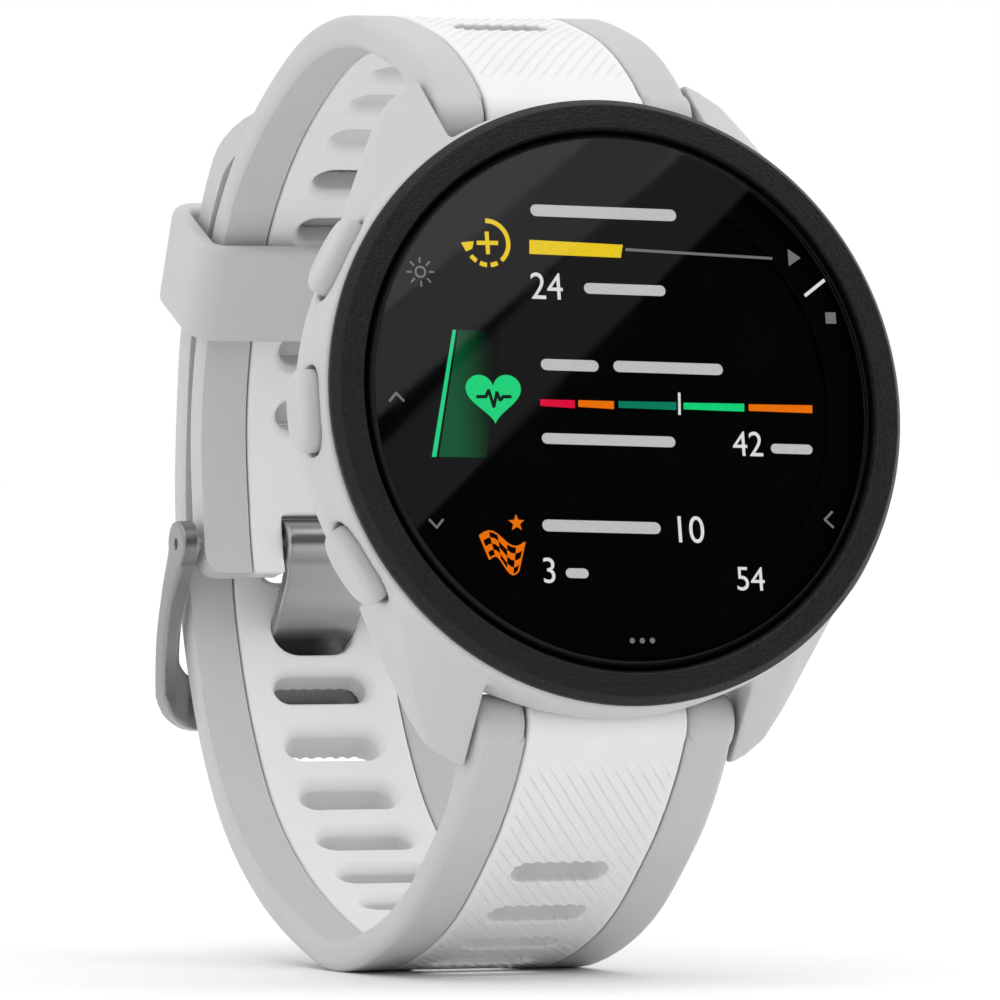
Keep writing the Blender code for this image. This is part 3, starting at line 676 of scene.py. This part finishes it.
def swell(s):
    return 1 + (2 * KNUCKLE_R / STRAP_T - 1) * max(0.0, 1 - max(s, 0.0) / 8.0) ** 1.4


def groove_phase(x, s):
    """Counts the slanting grooves of the strap's outer face."""
    return (x - s / GROOVE_SLANT) / GROOVE_PITCH


def slot_tool(s, half_width, inner=0.55, half_length=SLOT_HALF_LENGTH, lean=SLOT_LEAN, outer_shift=0.0):
    """A round-ended slot, softly rounded towards the wrist, its outer rim scalloped by the grooves."""
    half_t = STRAP_T / 2
    levels = [(-4, inner)] + [(-half_t + inner * math.sin(a), inner * (1 - math.cos(math.pi / 2 - a)))
                              for a in np.linspace(0, math.pi / 2, 6)]
    levels += [(half_t - 0.32, 0.0), (half_t - 0.08, 0.05), (half_t, 0.1), (4, 0.12)]
    loops = []
    for n, flare in levels:
        w = half_width + flare
        straight = half_length + flare - w
        out = max(-1.0, min(1.0, n / half_t))
        middle = s - lean * out - outer_shift * (out + 1) / 2
        arc = [math.pi * i / 14 - math.pi / 2 for i in range(15)]
        right = [(straight + w * math.cos(a), w * math.sin(a)) for a in arc]
        top = [(x, w) for x in np.linspace(straight, -straight, 34)[1:-1]]
        outline = right + top + [(-x, -t) for x, t in right] + [(-x, -t) for x, t in top]
        wave = SCALLOP if n > half_t - 0.2 else 0.0
        loop = []
        for x, t in outline:
            ripple = math.copysign(wave, t) * math.sin(2 * math.pi * groove_phase(x, s + t))
            loop.append((x, middle + t + ripple, n))
        loops.append(loop)
    return loft(loops)


def window_tool(half, start, end, corner, soft=0.22):
    """Cuts the opening between the rails, its edges slightly rounded."""
    half_t = STRAP_T / 2
    levels = [(-5, soft), (-half_t, soft), (-half_t + 0.3 * soft, 0.3 * soft), (-half_t + soft, 0.0),
              (half_t - soft, 0.0), (half_t - 0.3 * soft, 0.3 * soft), (half_t, soft), (5, soft)]
    loops = []
    for n, grow in levels:
        outline = rounded_end(half + grow, start, end + grow, corner + grow)
        loops.append([(x, s, n) for x, s in outline])
    return loft(loops)


# ---------------------------------------------------------------- pieces


def make_case(looks):
    profile = [
        (0, 0.25), (21.3, 0.25), (CASE_R, 0.9), (CASE_R, 4.6), (21.15, 6.6), (20.3, 8.2), (19.2, CASE_BACK),
        (0, CASE_BACK),
    ]
    case = lathe(filleted(profile, 0.5))
    reach = 10.05
    reliefs = [rod((-reach, BAR[0], z), (reach, BAR[0], z), 2.45) for z in (-BAR[1], BAR[1])]
    cut(case, *reliefs)
    g = 10.0
    half = [
        (g, 0.9, 17.6), (g, 2.9, 19.4), (g, 7.5, 24.2), (g, 8.3, 24.1), (g, 9.1, 23.2), (g, 8.9, 17.0),
        (11.2, 7.6, 23.6), (12.5, 7.2, 22.6), (12.4, 8.9, 22.3), (13.7, 6.2, 20.6), (13.5, 8.9, 20.4),
        (15.6, 3.6, 16.0), (15.5, 8.6, 15.8), (16.9, 1.2, 13.1), (16.9, 8.1, 12.9), (13.6, 0.9, 16.1),
        (g, 0.9, 15.5), (g, 8.9, 15.5), (15.6, 1.2, 12.0), (15.6, 8.1, 12.0),
    ]
    fuse(case, *[hull([(side * x, y, end * z) for x, y, z in half]) for side in (-1, 1) for end in (-1, 1)])
    cut(case, lathe([(0, -1), (20.2, -1), (20.2, 1.6), (CAVITY_R, 1.6), (CAVITY_R, 10), (0, 10)]))
    for angle in BUTTONS.values():
        cut(case, rod(radial(angle, 17, BUTTON_Y), radial(angle, 23, BUTTON_Y), 1.8))
        pocket = [cap_loop(angle, r, CAP_HALF[0] + 0.28, CAP_HALF[1] + 0.28) for r in (20.1, 24)]
        cut(case, loft(pocket))
    soften(case, SOFT_VOXEL, 4)
    finished(case, "case_shell", looks["case"], "watch", ["case_body"])


def cap_loop(angle, radius, half_length, half_width, steps=48, power=2.25):
    """A loop round a button, a little squarer than an ellipse."""
    loop = []
    for i in range(steps):
        a = 2 * math.pi * i / steps
        c, s = math.cos(a), math.sin(a)
        loop.append(radial(angle, radius, BUTTON_Y + half_width * math.copysign(abs(s) ** (2 / power), s),
                           half_length * math.copysign(abs(c) ** (2 / power), c)))
    return loop


def make_buttons(looks):
    for name, angle in BUTTONS.items():
        top = CAP_TOP[name]
        rings = [(20.9, 0.97), (21.05, 1.0), (top - CAP_EDGE, 1.0)]
        for t in np.linspace(0.2, 1.5, 7):
            rings.append((top - CAP_EDGE + CAP_EDGE * math.sin(t), 0.72 + 0.28 * math.cos(t)))
        rings += [(top, 0.55), (top, 0.25)]
        cap = loft([cap_loop(angle, r, CAP_HALF[0] * k, CAP_HALF[1] * k) for r, k in rings])
        fuse(cap, rod(radial(angle, 17.6, BUTTON_Y), radial(angle, 21.4, BUTTON_Y), 0.8))
        finished(cap, f"{name}_button_cap", looks["case"], f"{name}_button", [f"{name}_button"], 60)


def make_front(looks):
    face = [
        (BEZEL_FACE_IN_R, BEZEL_LIP), (BEZEL_FACE_R, BEZEL_FRONT), (BEZEL_R, BEZEL_FRONT + 0.7), (BEZEL_R, 0),
        (19.9, 0), (19.9, 1.3), (18.95, 1.3), (18.95, -1.1),
    ]
    bezel = lathe(filleted(face, 0.22), 256)
    finished(bezel, "bezel_ring", looks["bezel"], "watch", ["bezel"], 60)
    c = 0.3
    side = [(0, LENS_FRONT), (LENS_R - c, LENS_FRONT), (LENS_R, LENS_FRONT + c)]
    glass = lathe(filleted(side + [(LENS_R, LENS_BACK), (0, LENS_BACK)], 0.12))
    rim = [f.index for f in glass.data.polygons if Vector((f.center.x, f.center.z)).length > LENS_R - c - 0.2]
    finished(glass, "lens_cover", looks["lens"], "watch", ["lens_glass"], 60)
    glass.data.materials.append(looks["ink"])
    for index in rim:
        glass.data.polygons[index].material_index = 1
    mask = lathe(filleted([(15.9, -0.32), (18.9, -0.32), (18.9, -0.2), (15.9, -0.2)], 0.03))
    finished(mask, "dial_mask", looks["panel"], "watch", (), 60)
    panel = lathe(filleted([(0, -0.05), (16.6, -0.05), (16.6, 0.95), (0, 0.95)], 0.05), 128)
    finished(panel, "display_face", looks["panel"], "watch", ["display_panel"], 60)


def make_rear(looks):
    profile = [(6.5, 8.3), (17.8, 8.3), (17.8, 9.1), (17.5, 9.4), (11.0, 9.4), (10.0, 9.8), (6.5, 9.8)]
    cover = lathe(filleted(profile, 0.25))
    tools = [box((-3.8, 8, -15.4), (3.8, 11, -11.6))]
    for a in (45, 135, 225, 315):
        tools.append(rod(radial(a, 15.6, 8), radial(a, 15.6, 10), 0.9))
    cut(cover, *tools)
    cut(cover, *[rod(radial(a, 15.6, 8.7), radial(a, 15.6, 10), 1.5) for a in (45, 135, 225, 315)])
    finished(cover, "rear_cover_shell", looks["cover"], "watch", ["rear_cover"], 40)
    window = lathe(filleted([(0, 8.6), (6.2, 8.6), (6.2, 9.8), (5.6, 10.1), (0, 10.1)], 0.3), 128)
    finished(window, "sensor_dome", looks["window"], "watch", ["sensor_window"], 60)


def make_strap_half(line, end, slots, tip_corner, tip_margin, stretched=None):
    half_t = STRAP_T / 2
    bar = Vector((0, BAR[0], end * BAR[1]))
    rails = plate(rounded_end(STRAP_HALF, 0.0, line.length, tip_corner), -half_t, half_t, 0.8, 5)
    window_end = line.length - tip_margin
    window_corner = max(tip_corner - 3.5, 0.3)
    cut(rails, window_tool(INSERT_HALF + 0.04, -4, window_end, window_corner))
    line.bend(rails, swell)
    insert_end = min(window_end - 0.1, line.length)
    outline = rounded_end(INSERT_HALF - 0.06, 0.0, insert_end, max(window_corner - 0.1, 0.3))
    insert = plate(outline, -half_t, half_t, 0.2)
    for s in slots:
        if stretched and s < FRONT_SLOTS_END:
            cut(insert, slot_tool(s, SLOT_HALF_WIDTH, lean=FRONT_SLOTS_LEAN))
        elif stretched and s < stretched - INNER_SLOTS_GAP:
            cut(insert, slot_tool(s, SLOT_HALF_WIDTH, outer_shift=INNER_SLOTS_SHIFT))
        elif s != stretched:
            cut(insert, slot_tool(s, SLOT_HALF_WIDTH))
    if stretched:
        tool = slot_tool(stretched, STRETCHED_SLOT, TONGUE_SLOT_FLARE, TONGUE_SLOT_HALF_LENGTH, lean=0.0)
        cut(insert, tool)
    line.bend(insert, swell)
    fuse(rails, end_roll(bar, -STRAP_HALF, -INSERT_HALF - 0.05, KNUCKLE_R, 0.7),
         end_roll(bar, INSERT_HALF + 0.05, STRAP_HALF, KNUCKLE_R, 0.7))
    fuse(insert, end_roll(bar, -INSERT_HALF + 0.06, INSERT_HALF - 0.06, KNUCKLE_R, 0.25))
    for piece in (rails, insert):
        cut(piece, rod(bar - Vector((12, 0, 0)), bar + Vector((12, 0, 0)), BAR_HOLE_R))
        cut(piece, box((4.6, BAR[0] - 0.2, bar.z - 0.9), (7.6, BAR[0] + 4, bar.z + 0.9)))
    return rails, insert


def end_roll(bar, x0, x1, radius, edge=0.5):
    """A roll round the spring bar with rounded rims."""
    turn = [2 * math.pi * i / 48 for i in range(48)]
    rings = [
        (x0, radius - edge), (x0 + edge * 0.3, radius - edge * 0.3), (x0 + edge, radius),
        (x1 - edge, radius), (x1 - edge * 0.3, radius - edge * 0.3), (x1, radius - edge),
    ]
    return loft([[bar + Vector((x, r * math.cos(a), r * math.sin(a))) for a in turn] for x, r in rings])


def make_strap(looks):
    short = Line(SHORT_LINE, -1)
    pin_s = short.nearest(PIN)
    tail = []
    reach = pin_s - TAIL_START
    for s in np.arange(reach, pin_s - TAIL_REACH, -4.0):
        place, normal = short.at(s)
        tail.append(tuple(place + normal * (STRAP_T + LAYER_GAP + 0.5 * max(0.0, (s - reach + 6) / 6))))
    long_half = Line(LONG_LINE + tuple(tail), 1)
    tongue_s = long_half.nearest(TONGUE_SLOT)
    long_slots = [tongue_s - LONG_PITCH * k - PITCH_GROWTH * k * abs(k) for k in range(-7, 13)]
    long_slots = [s for s in long_slots if s < long_half.length - TIP_WITHOUT_SLOTS]
    short_slots = [pin_s - FIRST_SHORT_SLOT - SHORT_PITCH * k for k in range(11)]

    rails, insert = make_strap_half(long_half, -1, long_slots, 6.5, 4.5, tongue_s)
    soften(insert, FINE_VOXEL, 2)
    long_half.store_flat(insert)
    finished(rails, "long_strap_frame", looks["rail"], "watch", ["long_strap_rails"], 50)
    finished(insert, "long_strap_panel", looks["insert"], "watch", ["long_strap_insert"])

    rails, insert = make_strap_half(short, 1, short_slots, 1.5, -3)
    cut(insert, box((-3.5, 50, PIN[1] - 5), (3.5, 60, PIN[1] + 1.95)))
    soften(insert, FINE_VOXEL, 2)
    short.store_flat(insert)
    finished(rails, "short_strap_frame", looks["rail"], "watch", ["short_strap_rails"], 50)
    finished(insert, "short_strap_panel", looks["insert"], "watch", ["short_strap_insert"])
    return short, pin_s


def make_keeper(short, pin_s, looks):
    place, normal = short.at(pin_s - KEEPER_BEFORE_PIN)
    out = Vector((0, normal[0], normal[1]))
    along = Vector((0, -normal[1], normal[0]))
    low, high = -STRAP_T / 2 - 0.75, 1.5 * STRAP_T + LAYER_GAP + 0.55
    centre = Vector((0, *place)) + out * (low + high) / 2
    half_n, half_x = (high - low) / 2, STRAP_HALF + 0.45

    def loop(grow, corner, shift):
        points = []
        for sx, sn in ((1, 1), (-1, 1), (-1, -1), (1, -1)):
            start = math.atan2(sn, sx) - math.pi / 4
            for i in range(13):
                a = start + math.pi / 2 * i / 12
                x = sx * (half_x + grow - corner) + corner * math.cos(a)
                n = sn * (half_n + grow - corner) + corner * math.sin(a)
                points.append(centre + Vector((x, 0, 0)) + out * n + along * shift)
        return points

    h, w = KEEPER_HEIGHT / 2, KEEPER_WALL
    section = filleted([(w + 5, -h), (w + 5, h), (5, h), (5, -h)], 0.62, 6)
    loops = [loop(g - 5, 0.5 + (g - 5) * 1.25, shift) for g, shift in section]
    keeper = loft(loops, closed=True)
    finished(keeper, "keeper_loop", looks["rail"], "keeper", ["keeper"], 60)


def make_buckle(looks):
    arm = Line(ARM_LINE, -1)
    outer, inner = BUCKLE_HALF, BUCKLE_INNER_HALF
    body = plate(rounded_end(outer, 0, arm.length + 0.9, 3.0), -0.95, 0.95, 0.3)
    cut(body, plate(rounded_end(inner, -6, arm.length - 3.0, 1.6), -3, 3))
    arm.bend(body, lambda s: 1 + 0.6 * max(0.0, 1 - max(s, 0.0) / 5), step=0.5)
    y, z = PIN
    gather(body, rod((-outer, y, z), (-inner, y, z), 1.7), rod((inner, y, z), (outer, y, z), 1.7))
    soften(body, FINE_VOXEL, 3)
    cut(body, rod((-11.3, y, z), (11.3, y, z), 0.85))
    cut(body, rod((-13, y, z), (13, y, z), 0.45))
    finished(body, "buckle_bow", looks["gunmetal"], "buckle_frame", ["buckle_frame"])

    line = Line(TONGUE_LINE, -1)
    h = TONGUE_HALF
    shape = [(-h, 0), (-h + 0.35, 1.6), (-h, 4.0), (-h, line.length)]
    shape += [(-x, s) for x, s in reversed(shape)]
    tongue = plate(shape, -0.5, 0.5, 0.15, 2)
    line.bend(tongue, step=0.4)
    gather(tongue, rod((-h, y, z), (h, y, z), 1.75))
    soften(tongue, FINE_VOXEL, 3)
    cut(tongue, rod((-13, y, z), (13, y, z), 0.95))
    finished(tongue, "buckle_prong", looks["tongue"], "buckle_tongue", ["buckle_tongue"])


# ---------------------------------------------------------------- display


class Marks:
    """Flat shapes of one colour on the display, in (x, z), gathered into one mesh."""

    def __init__(self):
        self.bm = bmesh.new()

    def shape(self, points, lift=0.0):
        self.bm.faces.new([self.bm.verts.new((x, GRAPHICS_Y + 0.012 - 0.5 * lift, z)) for x, z in points])

    def bar(self, x0, x1, z, height):
        """A rounded dash whose left end is at x0."""
        r = 0.36 * height
        slope = math.tan(math.radians(ROW_TILT))
        points = []
        for centre, start in ((x1 - r, -90), (x0 + r, 90)):
            for i in range(9):
                a = math.radians(start + 22.5 * i)
                points.append((centre + r * math.cos(a), r * math.sin(a)))
        self.shape([(x, z + dz + slope * (x - x0)) for x, dz in points])

    def arc(self, x, z, radius, width, start, end, steps=24):
        turn = np.radians(np.linspace(start, end, steps))
        radii = (radius + width / 2, radius - width / 2)
        outer, inner = ([(x + r * math.cos(a), z + r * math.sin(a)) for a in turn] for r in radii)
        for i in range(steps - 1):
            self.shape([outer[i], outer[i + 1], inner[i + 1], inner[i]])

    def stroke(self, points, width, lift=0.0):
        """A line of even width through the points."""
        for (x0, z0), (x1, z1) in zip(points, points[1:]):
            d = Vector((x1 - x0, z1 - z0)).normalized()
            nx, nz = -d.y * width / 2, d.x * width / 2
            ex, ez = d.x * width * 0.25, d.y * width * 0.25
            self.shape([(x0 + nx - ex, z0 + nz - ez), (x1 + nx + ex, z1 + nz + ez),
                        (x1 - nx + ex, z1 - nz + ez), (x0 - nx - ex, z0 - nz - ez)], lift)

    def number(self, digits, x, z, height):
        """Digits standing on the line at z, with their left edge at x."""
        curve = bpy.data.curves.new("digits", "FONT")
        curve.body, curve.size = digits, height / 0.69
        made = bpy.data.objects.new("digits", curve)
        bpy.context.scene.collection.objects.link(made)
        graph = bpy.context.evaluated_depsgraph_get()
        mesh = bpy.data.meshes.new_from_object(made.evaluated_get(graph))
        bpy.data.objects.remove(made)
        low = min(v.co.x for v in mesh.vertices)
        slope = math.tan(math.radians(ROW_TILT))
        for v in mesh.vertices:
            dx, dz = (v.co.x - low) * 0.94, v.co.y
            v.co = (x + dx, GRAPHICS_Y, z + dz + slope * dx)
        self.bm.from_mesh(mesh)

    def done(self, name, look):
        bmesh.ops.recalc_face_normals(self.bm, faces=self.bm.faces)
        wrong = [f for f in self.bm.faces if f.normal.y > 0]
        bmesh.ops.reverse_faces(self.bm, faces=wrong)
        made = new_object(name, self.bm)
        finished(made, name, look, "watch", ())


def make_display():
    white, dash, grey, amber, orange, green, teal, red, mint, glow, black = (Marks() for _ in range(11))
    # first row: ring icon, heading, amber bar, and how long is left
    cx, cz = -8.86, 11.12
    amber.arc(cx, cz, 1.55, 0.32, -52, 92)
    for a in (-75, -105, -135):
        amber.arc(cx, cz, 1.55, 0.32, a - 10, a + 10, 6)
    amber.shape([(cx - 1.95, cz + 0.02), (cx - 1.0, cz + 0.12),
                 (cx - 1.15, cz - 0.42), (cx - 1.62, cz - 0.62)])
    amber.stroke([(cx - 0.72, cz), (cx + 0.72, cz)], 0.3)
    amber.stroke([(cx, cz - 0.72), (cx, cz + 0.72)], 0.3)
    dash.bar(-5.5, 5.4, 13.45, 1.15)
    amber.shape([(-5.72, 11.36), (-5.79, 10.37), (1.02, 10.13), (1.24, 11.05)])
    grey.shape([(1.42, 10.82), (1.40, 10.62), (12.44, 10.06), (12.46, 10.25)])
    white.number("24", -5.85, 7.22, 1.85)
    dash.bar(-1.9, 4.2, 7.98, 1.05)
    # second row: heart icon, heading, range bar with its marker
    mint.shape([(-11.86, 5.02), (-11.60, 5.02), (-13.68, -3.84), (-14.02, -3.84)])
    glow.shape([(-11.45, 5.02), (-8.3, 4.9), (-10.0, -3.9), (-13.5, -3.84)])
    hx, hz = -9.15, 0.45
    heart = []
    for i in range(64):
        t = 2 * math.pi * i / 64
        height = 13 * math.cos(t) - 5 * math.cos(2 * t) - 2 * math.cos(3 * t) - math.cos(4 * t)
        heart.append((hx + 2.05 * math.sin(t) ** 3, hz + 0.12 * height))
    green.shape(heart, 0.01)
    pulse = [(-10.4, 0.35), (-9.75, 0.35), (-9.5, 0.8), (-9.2, -0.35),
             (-8.9, 0.65), (-8.7, 0.1), (-8.45, 0.35), (-7.9, 0.35)]
    black.stroke(pulse, 0.24, 0.02)
    dash.bar(-5.5, -1.2, 2.62, 1.1)
    dash.bar(-0.1, 8.1, 2.5, 1.1)
    for marks, x0, x1 in ((red, -5.72, -3.15), (orange, -2.90, -0.24), (teal, 0.10, 4.42),
                          (green, 4.96, 9.53), (orange, 9.86, 14.67)):
        z = -0.02 - 0.022 * (x0 + 5.7)
        marks.shape([(x0, z + 0.2), (x1, z + 0.13), (x1 - 0.03, z - 0.43), (x0 - 0.02, z - 0.27)])
    white.shape([(4.60, 0.66), (4.79, 0.65), (4.70, -0.92), (4.51, -0.91)], 0.01)
    dash.bar(-5.8, 4.15, -2.55, 1.05)
    white.number("42", 8.45, -3.78, 1.72)
    dash.bar(11.3, 14.45, -3.28, 0.95)
    # third row: chequered flag icon, heading, two numbers
    def on_flag(u, v):
        left, right = -10.86 + 0.61 * v, -7.58 - 0.61 * v
        top, bottom = -9.31 - 0.5 * u, -10.94 - 0.87 * u
        return left + (right - left) * u, top + (bottom - top) * v + 0.42 * math.sin(2 * math.pi * u)
    square = ((0, 0), (0.1, 0), (0.2, 0), (0.2, 0.25), (0.1, 0.25), (0, 0.25))
    for i in range(5):
        for j in range(4):
            if (i + j) % 2 == 0:
                orange.shape([on_flag(i / 5 + u, j / 4 + v) for u, v in square])
    steps = [k / 10 for k in range(11)]
    orange.stroke([on_flag(u, 0) for u in steps], 0.12)
    orange.stroke([on_flag(u, 1) for u in steps], 0.12)
    orange.stroke([on_flag(0, 0), on_flag(0, 1)], 0.16)
    orange.stroke([on_flag(1, 0), on_flag(1, 1)], 0.12)
    star = []
    for i in range(10):
        r = 0.62 if i % 2 == 0 else 0.27
        a = math.radians(90 + 36 * i)
        star.append((-8.1 + r * math.cos(a), -8.45 + r * math.sin(a)))
    orange.shape(star)
    dash.bar(-6.2, 2.6, -8.62, 1.15)
    white.number("10", 3.9, -9.85, 1.85)
    white.number("3", -6.35, -12.62, 1.75)
    dash.bar(-4.7, -3.0, -11.95, 0.95)
    white.number("54", 8.05, -13.22, 1.65)
    # printed hints by the buttons, each a plain sign
    lx, lz = -13.96, 9.06
    grey.arc(lx, lz, 0.36, 0.14, 0, 360, 20)
    for k in range(8):
        a = math.radians(45 * k)
        grey.stroke([(lx + 0.66 * math.cos(a), lz + 0.66 * math.sin(a)),
                     (lx + 1.0 * math.cos(a), lz + 1.0 * math.sin(a))], 0.13)
    grey.stroke([(-16.85, 0.05), (-16.33, 0.6), (-15.81, 0.05)], 0.17)
    grey.stroke([(-14.5, -8.2), (-14.0, -8.75), (-13.5, -8.2)], 0.17)
    grey.shape([(13.65, 10.85), (14.6, 10.2), (13.65, 9.6)])
    white.stroke([(14.75, 7.55), (16.25, 8.62)], 0.24)
    grey.shape([(16.15, 6.35), (16.95, 6.35), (16.95, 5.55), (16.15, 5.55)])
    grey.stroke([(15.6, -7.75), (15.0, -8.3), (15.6, -8.85)], 0.17)
    for k in (-1, 0, 1):
        grey.arc(0.65 + 0.75 * k, -16.7, 0.1, 0.2, 0, 360, 16)
    shift = (TO_ROW @ Vector((0, 0, 0))).x
    white.done("display_white_marks", lit("lit_white", (0.84, 0.84, 0.86)))
    dash.done("display_dashes", lit("lit_dash", (0.60, 0.60, 0.62)))
    grey.done("display_grey_marks", lit("lit_grey", (0.19, 0.19, 0.20)))
    amber.done("display_amber_marks", lit("lit_amber", (0.93, 0.66, 0.012)))
    orange.done("display_orange_marks", lit("lit_orange", (0.95, 0.19, 0.005)))
    green.done("display_green_marks", lit("lit_green", (0.01, 0.74, 0.22)))
    teal.done("display_teal_marks", lit("lit_teal", (0.005, 0.23, 0.13)))
    red.done("display_red_marks", lit("lit_red", (0.83, 0.008, 0.05)))
    mint.done("display_mint_mark", lit("lit_mint", (0.02, 0.72, 0.27)))
    glow.done("display_glow", lit("lit_glow", (0.004, 0.10, 0.035), fade=(-0.0125 + shift, -0.0088 + shift)))
    black.done("display_pulse_line", lit("lit_black", (0.0, 0.01, 0.004)))


# ---------------------------------------------------------------- assembly


def dress_nodes(looks):
    """The CAD solids that stay, each with its own material."""
    by_slot = {
        "magnesium": "magnesium", "antenna": "copper", "board": "board", "battery": "battery",
        "steel": "steel", "black_plastic": "black", "seal": "rubber", "gold": "gold",
    }
    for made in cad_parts.values():
        slots = [m.name.split(".")[0] for m in made.data.materials if m]
        look = next((looks[by_slot[s]] for s in slots if s in by_slot), looks["steel"])
        for i in range(len(made.material_slots)):
            made.material_slots[i].material = look


def make_looks():
    return {
        "case": polymer("case_grey", (0.545, 0.545, 0.55), 0.5),
        "rail": polymer("rail_grey", (0.545, 0.545, 0.55), 0.55, grain=4200),
        "insert": insert_look(),
        "bezel": grained_black(),
        "lens": lens_look(),
        "panel": panel_look(),
        "ink": polymer("lens_ink", (0.004, 0.004, 0.004), 0.25, depth=0.000001, specular=0.15),
        "cover": polymer("cover_dark", (0.075, 0.075, 0.08), 0.45),
        "window": polymer("window_black", (0.008, 0.008, 0.012), 0.12, depth=0.000002),
        "magnesium": brushed("magnesium_cast", (0.5, 0.5, 0.52), 0.5, (900, 900, 900)),
        "copper": brushed("antenna_copper", (0.72, 0.42, 0.27), 0.35, (900, 900, 900)),
        "battery": brushed("battery_foil", (0.58, 0.59, 0.61), 0.4, (300, 300, 300)),
        "board": polymer("board_green", (0.015, 0.11, 0.05), 0.45),
        "steel": brushed("steel_turned", (0.56, 0.56, 0.57), 0.3),
        "gunmetal": brushed("gunmetal", (0.30, 0.30, 0.305), 0.33, (9000, 400, 400)),
        # painted highlight: the tongue's gunmetal is paler than the bow's, standing in for its brighter
        # reflection of the overhead light
        "tongue": brushed("gunmetal_tongue_painted_highlight", (0.40, 0.40, 0.405), 0.3, (60, 9000, 9000), 0.05),
        "black": polymer("plastic_black", (0.02, 0.02, 0.02), 0.5),
        "rubber": polymer("rubber_black", (0.025, 0.025, 0.025), 0.8),
        "gold": brushed("gold_plating", (0.86, 0.62, 0.26), 0.25),
    }


def main():
    bpy.context.scene.view_settings.view_transform = "Standard"
    camera = make_camera()
    make_light(camera)
    make_floor()
    looks = make_looks()
    dress_nodes(looks)
    make_case(looks)
    make_buttons(looks)
    make_front(looks)
    make_display()
    make_rear(looks)
    short, pin_s = make_strap(looks)
    make_keeper(short, pin_s, looks)
    make_buckle(looks)
    bpy.context.view_layer.update()


main()
